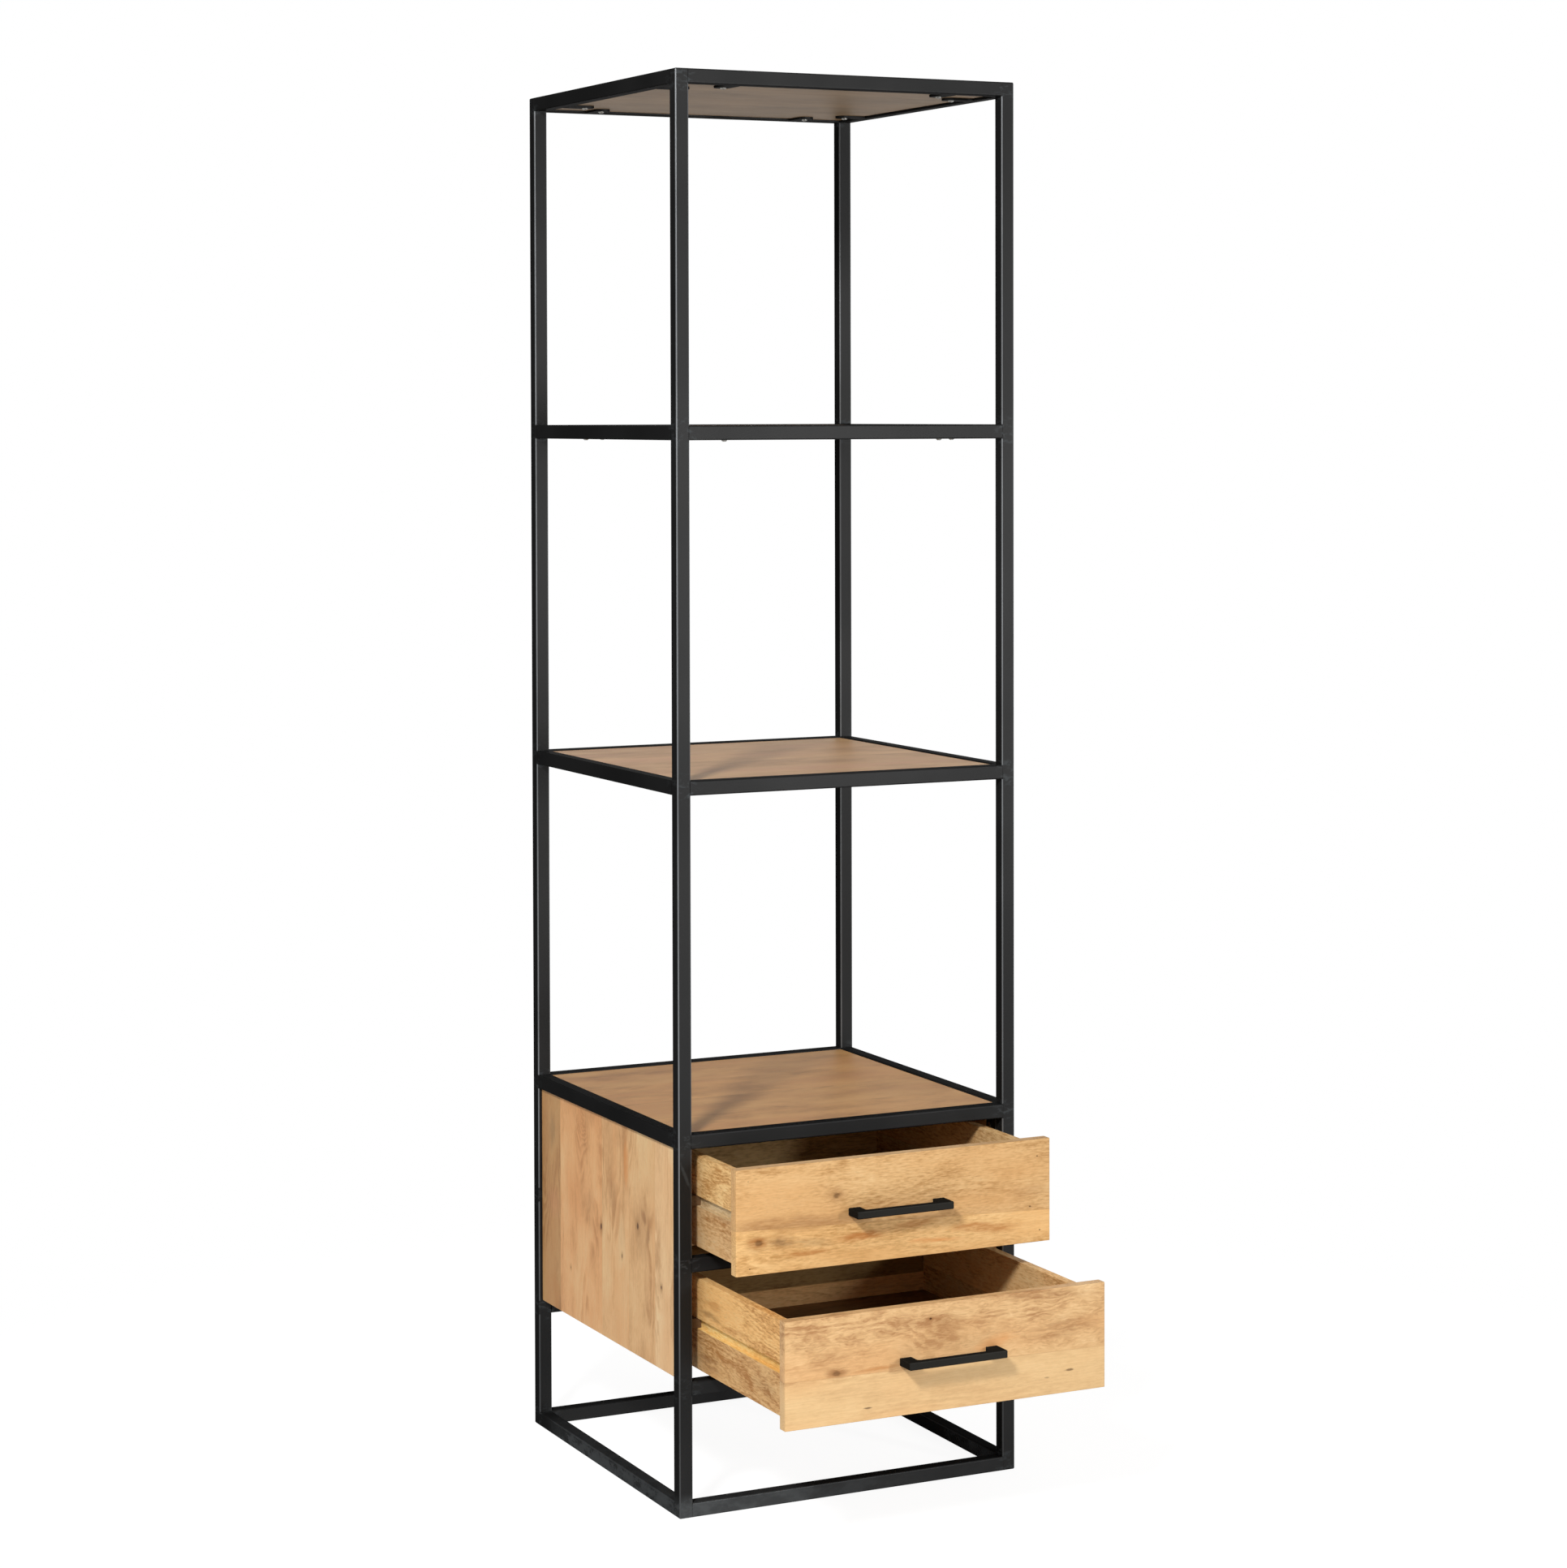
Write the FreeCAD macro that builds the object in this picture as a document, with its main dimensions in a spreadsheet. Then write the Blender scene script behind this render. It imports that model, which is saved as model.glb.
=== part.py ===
import FreeCAD, Part

import os
import re

import Sketcher

# A bookcase: an open frame of welded square tube with three shelf bays over a cabinet of two
# drawers. Millimetres, +Z up, +X to the right and +Y to the back, seen from the front.
# Every length below is measured from the frame's front left corner on the floor. The origin of
# the finished part is moved to the middle of its footprint, with the drawers open as at rest.

# Driving dimensions: alias, value and what it is.
SIZES = [
    ("frame_width", 500, "outside width of the frame"),
    ("frame_depth", 500, "outside depth of the frame"),
    ("cabinet_height", 500, "floor to the top of the drawer cabinet"),
    ("bay_pitch", 460, "from one shelf's top to the next"),
    ("tube", 19, "side of the square tube"),
    ("tube_wall", 1.5, "wall of the square tube"),
    ("tube_corner", 2, "outer corner radius of the square tube"),
    ("end_cap", 3, "thickness of the caps on the post ends"),
    ("drawer_opening", 142, "height of one drawer's opening between its rails"),
    ("board_gap", 1, "gap all round a shelf board"),
    ("board_drop", 1.5, "shelf boards set down from the tops of the tubes"),
    ("board_edge", 1, "rounding of a shelf board's edges"),
    ("tab_thick", 3, "thickness of the welded tabs"),
    ("tab_width", 22, "width of the welded tabs"),
    ("tab_length", 40, "length of a shelf tab"),
    ("tab_round", 8, "corner radius of a tab's free end"),
    ("tab_offset", 90, "from the frame's corner to the middle of a shelf tab"),
    ("tab_screw_offset", 28, "from the tube to a shelf tab's screw"),
    ("panel_recess", 5, "cabinet panels set in from the frame's outside"),
    ("panel_gap", 1, "gap between a cabinet panel and the tubes round it"),
    ("panel_edge", 1, "rounding of a cabinet panel's edges"),
    ("panel_tab_length", 25, "length of a panel tab"),
    ("panel_tab_inset", 14, "from a panel's end to the middle of its tab"),
    ("panel_tab_screw_offset", 14, "from the tube to a panel tab's screw"),
    ("screw_radius", 1.75, "radius of a wood screw"),
    ("screw_bite", 8, "depth of a wood screw in the wood"),
    ("screw_head_radius", 4, "radius of a wood screw's head"),
    ("screw_head", 2.4, "height of a wood screw's head"),
    ("screw_fit", 0.05, "clearance round a screw in its own hole"),
    ("screw_clearance", 0.5, "clearance round a screw in a hole that it passes"),
    ("front_thick", 16, "thickness of a drawer front"),
    ("front_gap", 1.5, "gap between a drawer front and the posts"),
    ("front_reveal", 3, "gap above and below a drawer front"),
    ("front_edge", 2, "rounding of a drawer front's upright edges"),
    ("box_inset", 14.5, "from a drawer front's end to the outside of its box"),
    ("box_rise", 7, "from a drawer front's lower edge to its box"),
    ("box_short", 25, "from the end of a closed drawer to the back posts' front"),
    ("side_height", 120, "height of a drawer's sides"),
    ("side_thick", 12, "thickness of a drawer's sides and back"),
    ("bottom_thick", 4, "thickness of a drawer's bottom"),
    ("bottom_rise", 20, "from the lower edge of a side to the drawer's bottom"),
    ("bottom_bite", 5, "depth of the groove that holds a drawer's bottom"),
    ("bottom_fit", 0.2, "clearance of a drawer's bottom in its groove"),
    ("groove_height", 13, "height of the runner groove in a drawer's side"),
    ("groove_depth", 6, "depth of the runner groove in a drawer's side"),
    ("runner_fit", 0.3, "clearance between a runner and its groove"),
    ("runner_short", 11, "from the end of a runner to the back posts' front"),
    ("runner_screw_offset", 40, "from a runner's end to its first screw"),
    ("runner_counterbore", 14, "depth of the sunk hole over a runner's screw"),
    ("dowel_radius", 3, "radius of the dowels in a drawer's corners"),
    ("dowel_bite", 7, "depth of a dowel on each side of its joint"),
    ("dowel_offset", 34, "from the edge of a drawer's side to the nearest dowel"),
    ("handle_length", 140, "outside length of a handle"),
    ("handle_foot", 17, "width of a handle's foot"),
    ("handle_reach", 28, "from the drawer front to the handle's outside"),
    ("handle_bar", 10, "thickness of a handle's grip"),
    ("handle_height", 10, "height of a handle"),
    ("handle_edge", 0.8, "rounding of a handle's edges"),
    ("handle_screw_bite", 10, "depth of a handle's screw in its foot"),
    ("upper_open_depth", 130, "how far the upper drawer stands open at rest"),
    ("lower_open_depth", 270, "how far the lower drawer stands open at rest"),
]

BAYS = ["middle_shelf", "upper_shelf", "top"]

# Places and lengths that follow from the driving dimensions.
PLACES = {
    "inner_width": "frame_width - 2 * tube",
    "inner_depth": "frame_depth - 2 * tube",
    "far_x": "frame_width - tube",
    "far_y": "frame_depth - tube",
    "frame_height": f"cabinet_height + {len(BAYS)} * bay_pitch",
    "cabinet_ring": "cabinet_height - tube",
    "middle_rail": "cabinet_ring - drawer_opening - tube",
    "bottom_rail": "middle_rail - drawer_opening - tube",
    "board_thick": "tube - tab_thick - board_drop",
    "board_width": "inner_width - 2 * board_gap",
    "board_depth": "inner_depth - 2 * board_gap",
    "panel_thick": "tube - panel_recess - tab_thick",
    "panel_bottom": "bottom_rail + tube + panel_gap",
    "panel_top": "cabinet_ring - panel_gap",
    "panel_length": "inner_depth - 2 * panel_gap",
    "tab_screw_length": "tab_thick + screw_bite",
    "front_width": "inner_width - 2 * front_gap",
    "front_height": "drawer_opening - 2 * front_reveal",
    "box_width": "front_width - 2 * box_inset",
    "box_length": "far_y - front_thick - box_short",
    "back_width": "box_width - 2 * side_thick",
    "back_rise": "bottom_rise + bottom_thick + bottom_fit",
    "groove_rise": "(side_height - groove_height) / 2",
    "runner_thick": "front_gap + box_inset + groove_depth - runner_fit + tab_thick",
    "runner_height": "groove_height - 2 * runner_fit",
    "runner_length": "inner_depth - panel_gap - runner_short",
    "handle_screw_span": "handle_length - handle_foot",
    "centre_x": "frame_width / 2",
    "centre_y": "(frame_depth - lower_open_depth - handle_reach) / 2",
}

DRAWERS = {
    "upper": {"open": "upper_open_depth", "floor": "middle_rail + tube"},
    "lower": {"open": "lower_open_depth", "floor": "bottom_rail + tube"},
}

# The origin plane that a profile is drawn on for each direction, and whether the plane's
# normal points backwards along it.
PROFILE_PLANES = {
    "X": ("YZ_Plane", False),
    "Y": ("XZ_Plane", True),
    "Z": ("XY_Plane", False),
}

doc = FreeCAD.newDocument("Bookcase")
sheet = doc.addObject("Spreadsheet::Sheet", "Sizes")
for row, (alias, value, meaning) in enumerate(SIZES, 1):
    sheet.set(f"A{row}", alias)
    sheet.set(f"B{row}", str(value))
    sheet.setAlias(f"B{row}", alias)
    sheet.set(f"C{row}", meaning)
doc.recompute()
ALIASES = {alias for alias, value, meaning in SIZES}
sub_parts = []


def expression(text):
    """Write a formula of sizes and places as one of the sheet's cells only."""
    def spell_out(match):
        word = match.group()
        if word in PLACES:
            return f"({expression(PLACES[word])})"
        if word in ALIASES:
            return f"Sizes.{word}"
        raise NameError(f"no size or place is called {word}")
    return re.sub(r"[a-z]\w*", spell_out, text)


def new_body(label, at=("0", "0", "0")):
    """Start a sub-part whose own origin lies at a point given from the frame's corner."""
    body = doc.addObject("PartDesign::Body", label)
    body.Label = label
    body.AllowCompound = True
    for axis, place, middle in zip("xyz", at, ("centre_x", "centre_y", None)):
        shifted = f"({place}) - {middle}" if middle else place
        body.setExpression(f".Placement.Base.{axis}", expression(shifted))
    sub_parts.append(body)
    return body


def origin_feature(body, role):
    """Find one of a body's origin planes or axes."""
    return next(item for item in body.Origin.OriginFeatures if item.Role == role)


def new_sketch(body, along, start="0"):
    """Attach a sketch across a direction of its body, moved along it by start."""
    role, backwards = PROFILE_PLANES[along]
    sketch = body.newObject("Sketcher::SketchObject", f"{body.Label}_profile")
    sketch.AttachmentSupport = [(origin_feature(body, role), "")]
    sketch.MapMode = "FlatFace"
    shift = f"-({start})" if backwards else start
    sketch.setExpression(".AttachmentOffset.Base.z", expression(shift))
    return sketch


def bind(sketch, kind, first, second, length):
    """Hold the distance between two points of a sketch at a formula's value."""
    index = sketch.addConstraint(Sketcher.Constraint(kind, *first, *second, 1.0))
    name = f"length_{index}"
    sketch.renameConstraint(index, name)
    sketch.setExpression(f"Constraints.{name}", expression(length))


def add_rectangle(sketch, across, up, width, height):
    """Add a rectangle with its lower left corner at (across, up)."""
    first = sketch.GeometryCount
    left = 1 + 2 * first
    corners = [(left, 1), (left + 1, 1), (left + 1, 2), (left, 2)]
    points = [FreeCAD.Vector(*corner, 0) for corner in corners]
    for number in range(4):
        sketch.addGeometry(Part.LineSegment(points[number], points[(number + 1) % 4]), False)
    for number in range(4):
        following = first + (number + 1) % 4
        sketch.addConstraint(Sketcher.Constraint("Coincident", first + number, 2, following, 1))
        level = "Vertical" if number % 2 else "Horizontal"
        sketch.addConstraint(Sketcher.Constraint(level, first + number))
    corner = (first, 1)
    bind(sketch, "DistanceX", (-1, 1), corner, across)
    bind(sketch, "DistanceY", (-1, 1), corner, up)
    bind(sketch, "DistanceX", corner, (first, 2), width)
    bind(sketch, "DistanceY", (first + 1, 1), (first + 1, 2), height)


def add_circle(sketch, across, up, radius):
    """Add a circle with its centre at (across, up)."""
    number = sketch.GeometryCount
    centre = FreeCAD.Vector(1 + 2 * number, 1, 0)
    sketch.addGeometry(Part.Circle(centre, FreeCAD.Vector(0, 0, 1), 0.5), False)
    bind(sketch, "DistanceX", (-1, 1), (number, 3), across)
    bind(sketch, "DistanceY", (-1, 1), (number, 3), up)
    index = sketch.addConstraint(Sketcher.Constraint("Radius", number, 0.5))
    sketch.renameConstraint(index, f"radius_{index}")
    sketch.setExpression(f"Constraints.radius_{index}", expression(radius))


def add_pad(body, sketch, along, length):
    """Raise a sketch along its direction."""
    pad = body.newObject("PartDesign::Pad", f"{body.Label}_pad")
    pad.Profile = sketch
    pad.Reversed = PROFILE_PLANES[along][1]
    pad.setExpression("Length", expression(length))
    body.Tip = pad
    doc.recompute()
    return pad


def add_pocket(body, sketch, along, depth=None, forwards=True):
    """Cut a sketch into the solid, through all of it when no depth is given."""
    before = body.Tip.Shape.Volume
    pocket = body.newObject("PartDesign::Pocket", f"{body.Label}_pocket")
    pocket.Profile = sketch
    pocket.Reversed = forwards != PROFILE_PLANES[along][1]
    if depth is None:
        pocket.Type = "ThroughAll"
    else:
        pocket.setExpression("Length", expression(depth))
    body.Tip = pocket
    doc.recompute()
    if pocket.Shape.Volume >= before:
        raise RuntimeError(f"a pocket in {body.Label} cuts nothing")
    return pocket


def add_fillet(body, radius, is_wanted):
    """Round the edges of the solid so far that a test of their two ends accepts."""
    base = body.Tip
    names = []
    for number, edge in enumerate(base.Shape.Edges, 1):
        start, end = edge.Vertexes[0].Point, edge.Vertexes[-1].Point
        if is_wanted(start, end, base.Shape.BoundBox):
            names.append(f"Edge{number}")
    fillet = body.newObject("PartDesign::Fillet", f"{body.Label}_fillet")
    fillet.Base = (base, names)
    fillet.setExpression("Radius", expression(radius))
    body.Tip = fillet
    doc.recompute()
    return fillet


def runs_along(axis):
    """Make an edge test that accepts straight edges along an axis."""
    def is_wanted(start, end, box):
        step = end - start
        return abs(getattr(step, axis)) > 0.999 * step.Length > 0
    return is_wanted


def add_block(body, along, across, up, start, width, height, length):
    """Add a rectangular bar that runs from start along one direction of its body."""
    sketch = new_sketch(body, along, start)
    add_rectangle(sketch, across, up, width, height)
    return add_pad(body, sketch, along, length)


def add_holes(body, along, centres, radius, start="0", depth=None, forwards=True):
    """Drill round holes of one size along a direction of the body."""
    sketch = new_sketch(body, along, start)
    for across, up in centres:
        add_circle(sketch, across, up, radius)
    return add_pocket(body, sketch, along, depth, forwards)


def add_pins(body, along, centres, radius, start, length):
    """Add round bars of one size along a direction of the body."""
    sketch = new_sketch(body, along, start)
    for across, up in centres:
        add_circle(sketch, across, up, radius)
    return add_pad(body, sketch, along, length)


def add_screws(body, along, centres, seat, length, forwards):
    """Add screws whose heads bear on a seat and whose shanks run on from it."""
    if forwards:
        add_pins(body, along, centres, "screw_radius", seat, length)
        add_pins(body, along, centres, "screw_head_radius", f"{seat} - screw_head", "screw_head")
    else:
        add_pins(body, along, centres, "screw_radius", f"{seat} - ({length})", length)
        add_pins(body, along, centres, "screw_head_radius", seat, "screw_head")


def tube_bar(label, along, at, length):
    """Make a length of the hollow square tube, open at both ends."""
    body = new_body(label, at)
    add_block(body, along, "0", "0", "0", "tube", "tube", length)
    add_fillet(body, "tube_corner", runs_along(along.lower()))
    bore = new_sketch(body, along)
    inside = "tube - 2 * tube_wall"
    add_rectangle(bore, "tube_wall", "tube_wall", inside, inside)
    add_pocket(body, bore, along)


def is_outer_cap_edge(start, end, box):
    """Accept upright edges and the level ones on the outside of the frame's two ends."""
    if abs(start.z - end.z) > 0.01:
        return True
    sides = [(start.x, end.x, box.XMin, box.XMax), (start.y, end.y, box.YMin, box.YMax)]
    is_outside = any(
        abs(first - last) < 0.01 and min(first - low, high - first) < 0.01
        for first, last, low, high in sides
    )
    return is_outside and min(start.z - box.ZMin, box.ZMax - start.z) < 0.01


def frame_posts():
    """Make the four upright posts and the caps that close their ends."""
    corners = {
        "front_left": ("0", "0"),
        "front_right": ("far_x", "0"),
        "rear_left": ("0", "far_y"),
        "rear_right": ("far_x", "far_y"),
    }
    for name, (across, back) in corners.items():
        tube_bar(f"{name}_post", "Z", (across, back, "end_cap"), "frame_height - 2 * end_cap")
    caps = new_body("post_end_caps")
    for start in ("0", "frame_height - end_cap"):
        profile = new_sketch(caps, "Z", start)
        for across, back in corners.values():
            add_rectangle(profile, across, back, "tube", "tube")
        add_pad(caps, profile, "Z", "end_cap")
    add_fillet(caps, "tube_corner", is_outer_cap_edge)


def repeat_upwards(body, count, span):
    """Repeat all of a sub-part so far at even steps up to span."""
    pattern = body.newObject("PartDesign::LinearPattern", f"{body.Label}_pattern")
    pattern.TransformMode = "Whole shape"
    pattern.Direction = (origin_feature(body, "Z_Axis"), [""])
    pattern.setExpression("Occurrences", count)
    pattern.setExpression("Length", expression(span))
    body.Tip = pattern
    doc.recompute()


def frame_bars():
    """Make the bars between the posts: five level rings and three drawer rails."""
    rings = {"base": "0", "cabinet_top": "cabinet_ring"}
    for number, name in enumerate(BAYS, 1):
        rings[name] = f"cabinet_ring + {number} * bay_pitch"
    for name, height in rings.items():
        tube_bar(f"{name}_front_bar", "X", ("tube", "0", height), "inner_width")
        tube_bar(f"{name}_rear_bar", "X", ("tube", "far_y", height), "inner_width")
        tube_bar(f"{name}_left_bar", "Y", ("0", "tube", height), "inner_depth")
        tube_bar(f"{name}_right_bar", "Y", ("far_x", "tube", height), "inner_depth")
    tube_bar("front_middle_rail", "X", ("tube", "0", "middle_rail"), "inner_width")
    tube_bar("front_bottom_rail", "X", ("tube", "0", "bottom_rail"), "inner_width")
    tube_bar("rear_bottom_rail", "X", ("tube", "far_y", "bottom_rail"), "inner_width")


def shelf_tabs():
    """List the shelf tabs of one ring: place, size and screw centre, from the frame's corner."""
    tabs = []
    half = "tab_width / 2"
    for along_x in (True, False):
        width, length = ("frame_width", "frame_depth") if along_x else ("frame_depth", "frame_width")
        for middle in ("tab_offset", f"({width} - tab_offset)"):
            for root, screw in (
                ("tube", "tube + tab_screw_offset"),
                (f"{length} - tube - tab_length", f"{length} - tube - tab_screw_offset"),
            ):
                if along_x:
                    corner, size = (f"{middle} - {half}", root), ("tab_width", "tab_length")
                    centre = (middle, screw)
                else:
                    corner, size = (root, f"{middle} - {half}"), ("tab_length", "tab_width")
                    centre = (screw, middle)
                tabs.append((corner, size, centre))
    return tabs


def shelves():
    """Make the shelf boards, the tabs that carry them and the screws through the tabs."""
    tabs = shelf_tabs()
    span = f"{len(BAYS)} * bay_pitch"
    count = str(len(BAYS) + 1)
    carriers = new_body("board_tabs", ("0", "0", "cabinet_ring"))
    profile = new_sketch(carriers, "Z")
    for corner, size, centre in tabs:
        add_rectangle(profile, *corner, *size)
    add_pad(carriers, profile, "Z", "tab_thick")
    add_fillet(carriers, "tab_round", is_free_tab_corner)
    centres = [centre for corner, size, centre in tabs]
    add_holes(carriers, "Z", centres, "screw_radius + screw_clearance")
    repeat_upwards(carriers, count, span)
    screws = new_body("board_screws", ("0", "0", "cabinet_ring"))
    add_screws(screws, "Z", centres, "0", "tab_screw_length", True)
    repeat_upwards(screws, count, span)
    start = "tube + board_gap"
    pilots = [(f"{across} - ({start})", f"{back} - ({start})") for across, back in centres]
    for number, name in enumerate(["cabinet_top"] + BAYS):
        height = f"cabinet_ring + tab_thick + {number} * bay_pitch"
        board = new_body(f"{name}_board", (start, start, height))
        add_block(board, "Z", "0", "0", "0", "board_width", "board_depth", "board_thick")
        add_fillet(board, "board_edge", is_level)
        add_holes(board, "Z", pilots, "screw_radius + screw_fit", depth="screw_bite + screw_fit")


def is_free_tab_corner(start, end, box):
    """Accept a tab's upright edges that stand clear of the tubes."""
    upright = abs(start.z - end.z) > 0.5 * box.ZLength
    return upright and box.XMin + 0.1 < start.x < box.XMax - 0.1 and (
        box.YMin + 0.1 < start.y < box.YMax - 0.1)


def is_level(start, end, box):
    """Accept every edge that doesn't stand upright."""
    return abs(start.z - end.z) < 0.001


def cabinet_panels():
    """Make the side and back panels, their tabs and the screws through the tabs."""
    tab_levels = ["panel_bottom + panel_tab_inset", "panel_top - panel_tab_inset"]
    reach = "panel_tab_screw_offset"
    y_screws = [f"tube + {reach}", f"far_y - {reach}"]
    x_screws = [f"tube + {reach}", f"far_x - {reach}"]
    side_screws = [(place, level) for place in y_screws for level in tab_levels]
    rear_screws = [(place, level) for place in x_screws for level in tab_levels]
    add_panels(side_screws, rear_screws)

    tabs = new_body("panel_tabs")
    screws = new_body("panel_screws")
    y_roots = ["tube", "far_y - panel_tab_length"]
    x_roots = ["tube", "far_x - panel_tab_length"]
    sets = [
        ("X", "tube - tab_thick", y_roots, side_screws, "tube", False),
        ("X", "far_x", y_roots, side_screws, "far_x", True),
        ("Y", "far_y", x_roots, rear_screws, "far_y", True),
    ]
    for along, start, roots, centres, seat, forwards in sets:
        profile = new_sketch(tabs, along, start)
        for root in roots:
            for level in tab_levels:
                add_rectangle(profile, root, f"{level} - tab_width / 2", "panel_tab_length", "tab_width")
        add_pad(tabs, profile, along, "tab_thick")
        add_holes(tabs, along, centres, "screw_radius + screw_clearance", start, "tab_thick")
        add_screws(screws, along, centres, seat, "tab_screw_length", forwards)


def add_panels(side_screws, rear_screws):
    """Make the three cabinet panels with their screws' pilot holes."""
    radius = "screw_radius + screw_fit"
    depth = "screw_bite + screw_fit"
    height = "panel_top - panel_bottom"
    runner_centres = [
        (place, f"{height_of_runner(name)} + runner_height / 2")
        for name in DRAWERS for place in runner_screw_points()
    ]
    start = "tube + panel_gap"
    for side, across, inner, forwards in (
        ("left", "panel_recess", "panel_thick", False),
        ("right", "far_x + tab_thick", "0", True),
    ):
        panel = new_body(f"side_panel_{side}", (across, start, "panel_bottom"))
        add_block(panel, "X", "0", "0", "0", "panel_length", height, "panel_thick")
        add_fillet(panel, "panel_edge", runs_along("y"))
        pilots = [
            (f"{place} - ({start})", f"{level} - (panel_bottom)")
            for place, level in side_screws + runner_centres
        ]
        add_holes(panel, "X", pilots, radius, inner, depth, forwards)
    panel = new_body("back_panel", (start, "far_y + tab_thick", "panel_bottom"))
    add_block(panel, "Y", "0", "0", "0", "inner_width - 2 * panel_gap", height, "panel_thick")
    add_fillet(panel, "panel_edge", runs_along("x"))
    pilots = [(f"{place} - ({start})", f"{level} - (panel_bottom)") for place, level in rear_screws]
    add_holes(panel, "Y", pilots, radius, "0", depth, True)


def height_of_runner(name):
    """Give the height of the lower face of a drawer's runners."""
    return f"{DRAWERS[name]['floor']} + front_reveal + box_rise + groove_rise + runner_fit"


def runner_screw_points():
    """Give the distances from the frame's front to a runner's three screws."""
    start = "tube + panel_gap"
    return [
        f"{start} + runner_screw_offset",
        f"{start} + runner_length / 2",
        f"{start} + runner_length - runner_screw_offset",
    ]


def drawer_runners():
    """Make the wooden runners on the side panels and their sunk screws."""
    screws = new_body("runner_screws")
    start = "tube + panel_gap"
    grip = "runner_thick - runner_counterbore"
    for name in DRAWERS:
        height = height_of_runner(name)
        level = "runner_height / 2"
        local = [(f"{place} - ({start})", level) for place in runner_screw_points()]
        centres = [(place, f"{height} + {level}") for place in runner_screw_points()]
        for side, across, seat, sunk_from, forwards in (
            ("left", "tube - tab_thick", grip, "runner_thick", False),
            ("right", "far_x + tab_thick - (runner_thick)", "runner_counterbore", "0", True),
        ):
            runner = new_body(f"{name}_{side}_runner", (across, start, height))
            add_block(runner, "X", "0", "0", "0", "runner_length", "runner_height", "runner_thick")
            add_holes(runner, "X", local, "screw_radius + screw_clearance")
            sunk = "screw_head_radius + screw_fit"
            add_holes(runner, "X", local, sunk, sunk_from, "runner_counterbore", forwards)
            bearing = f"{across} + {seat}"
            add_screws(screws, "X", centres, bearing, f"{grip} + screw_bite", forwards)


def drawer_front(name, at, handle_centres, front_dowels):
    """Make a drawer's front with its holes and the groove for the drawer's bottom."""
    front = new_body(f"{name}_drawer_front", at)
    add_block(front, "Y", "0", "0", "0", "front_width", "front_height", "front_thick")
    add_fillet(front, "front_edge", is_front_upright)
    add_holes(front, "Y", handle_centres, "screw_radius + screw_clearance")
    add_holes(front, "Y", front_dowels, "dowel_radius", "front_thick", "dowel_bite", False)
    groove = new_sketch(front, "Y", "front_thick")
    reach = "bottom_bite"
    add_rectangle(groove, f"box_inset + side_thick - {reach}", "box_rise + bottom_rise",
                  f"back_width + 2 * {reach}", "bottom_thick + bottom_fit")
    add_pocket(front, groove, "Y", reach, False)


def is_front_upright(start, end, box):
    """Accept the upright edges on the outside of a drawer front."""
    return abs(start.z - end.z) > 0.5 * box.ZLength and start.y < box.YMin + 0.1


def drawer_sides(name, at):
    """Make a drawer's two sides, grooved outside for the runner and inside for the bottom."""
    levels = dowel_levels()
    for side, across, runner_face, bottom_face in (
        ("left", "box_inset", "0", "side_thick - bottom_bite"),
        ("right", "box_inset + box_width - side_thick", "side_thick - groove_depth", "0"),
    ):
        place = shifted(at, across, "front_thick", "box_rise")
        part = new_body(f"{name}_drawer_{side}_side", place)
        add_block(part, "Y", "0", "0", "0", "side_thick", "side_height", "box_length")
        grooves = new_sketch(part, "Y")
        add_rectangle(grooves, runner_face, "groove_rise", "groove_depth", "groove_height")
        add_rectangle(grooves, bottom_face, "bottom_rise", "bottom_bite", "bottom_thick + bottom_fit")
        add_pocket(part, grooves, "Y")
        front_dowels = [("side_thick / 2", level) for level in levels]
        add_holes(part, "Y", front_dowels, "dowel_radius", depth="dowel_bite")
        back_dowels = [("box_length - side_thick / 2", level) for level in levels]
        inner, forwards = ("side_thick", False) if side == "left" else ("0", True)
        add_holes(part, "X", back_dowels, "dowel_radius", inner, "dowel_bite", forwards)


def dowel_levels():
    """Give the heights of the two dowels in each of a drawer's corners, from the side's edge."""
    return ["dowel_offset", "side_height - dowel_offset"]


def drawer_back(name, at):
    """Make a drawer's back, which stands between the sides on the drawer's bottom."""
    place = shifted(at, "box_inset + side_thick",
                    "front_thick + box_length - side_thick", "box_rise + back_rise")
    back = new_body(f"{name}_drawer_back", place)
    add_block(back, "Y", "0", "0", "0", "back_width", "side_height - back_rise", "side_thick")
    centres = [("side_thick / 2", f"{level} - (back_rise)") for level in dowel_levels()]
    add_holes(back, "X", centres, "dowel_radius", "0", "dowel_bite", True)
    add_holes(back, "X", centres, "dowel_radius", "back_width", "dowel_bite", False)


def drawer_bottom(name, at):
    """Make a drawer's bottom, which lies in the grooves of the front and the sides."""
    inset = "bottom_bite - bottom_fit"
    place = shifted(at, f"box_inset + side_thick - ({inset})", f"front_thick - ({inset})",
                    "box_rise + bottom_rise")
    bottom = new_body(f"{name}_drawer_bottom", place)
    add_block(bottom, "Z", "0", "0", "0",
              f"back_width + 2 * ({inset})", f"box_length + {inset}", "bottom_thick")


def drawer_dowels(name, at, front_dowels):
    """Make the dowels that hold a drawer's sides to its front and back."""
    dowels = new_body(f"{name}_drawer_dowels", at)
    length = "2 * dowel_bite"
    add_pins(dowels, "Y", front_dowels, "dowel_radius", "front_thick - dowel_bite", length)
    back_middle = "front_thick + box_length - side_thick / 2"
    centres = [(back_middle, f"box_rise + {level}") for level in dowel_levels()]
    for joint in ("box_inset + side_thick", "box_inset + box_width - side_thick"):
        add_pins(dowels, "X", centres, "dowel_radius", f"{joint} - dowel_bite", length)


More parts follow.
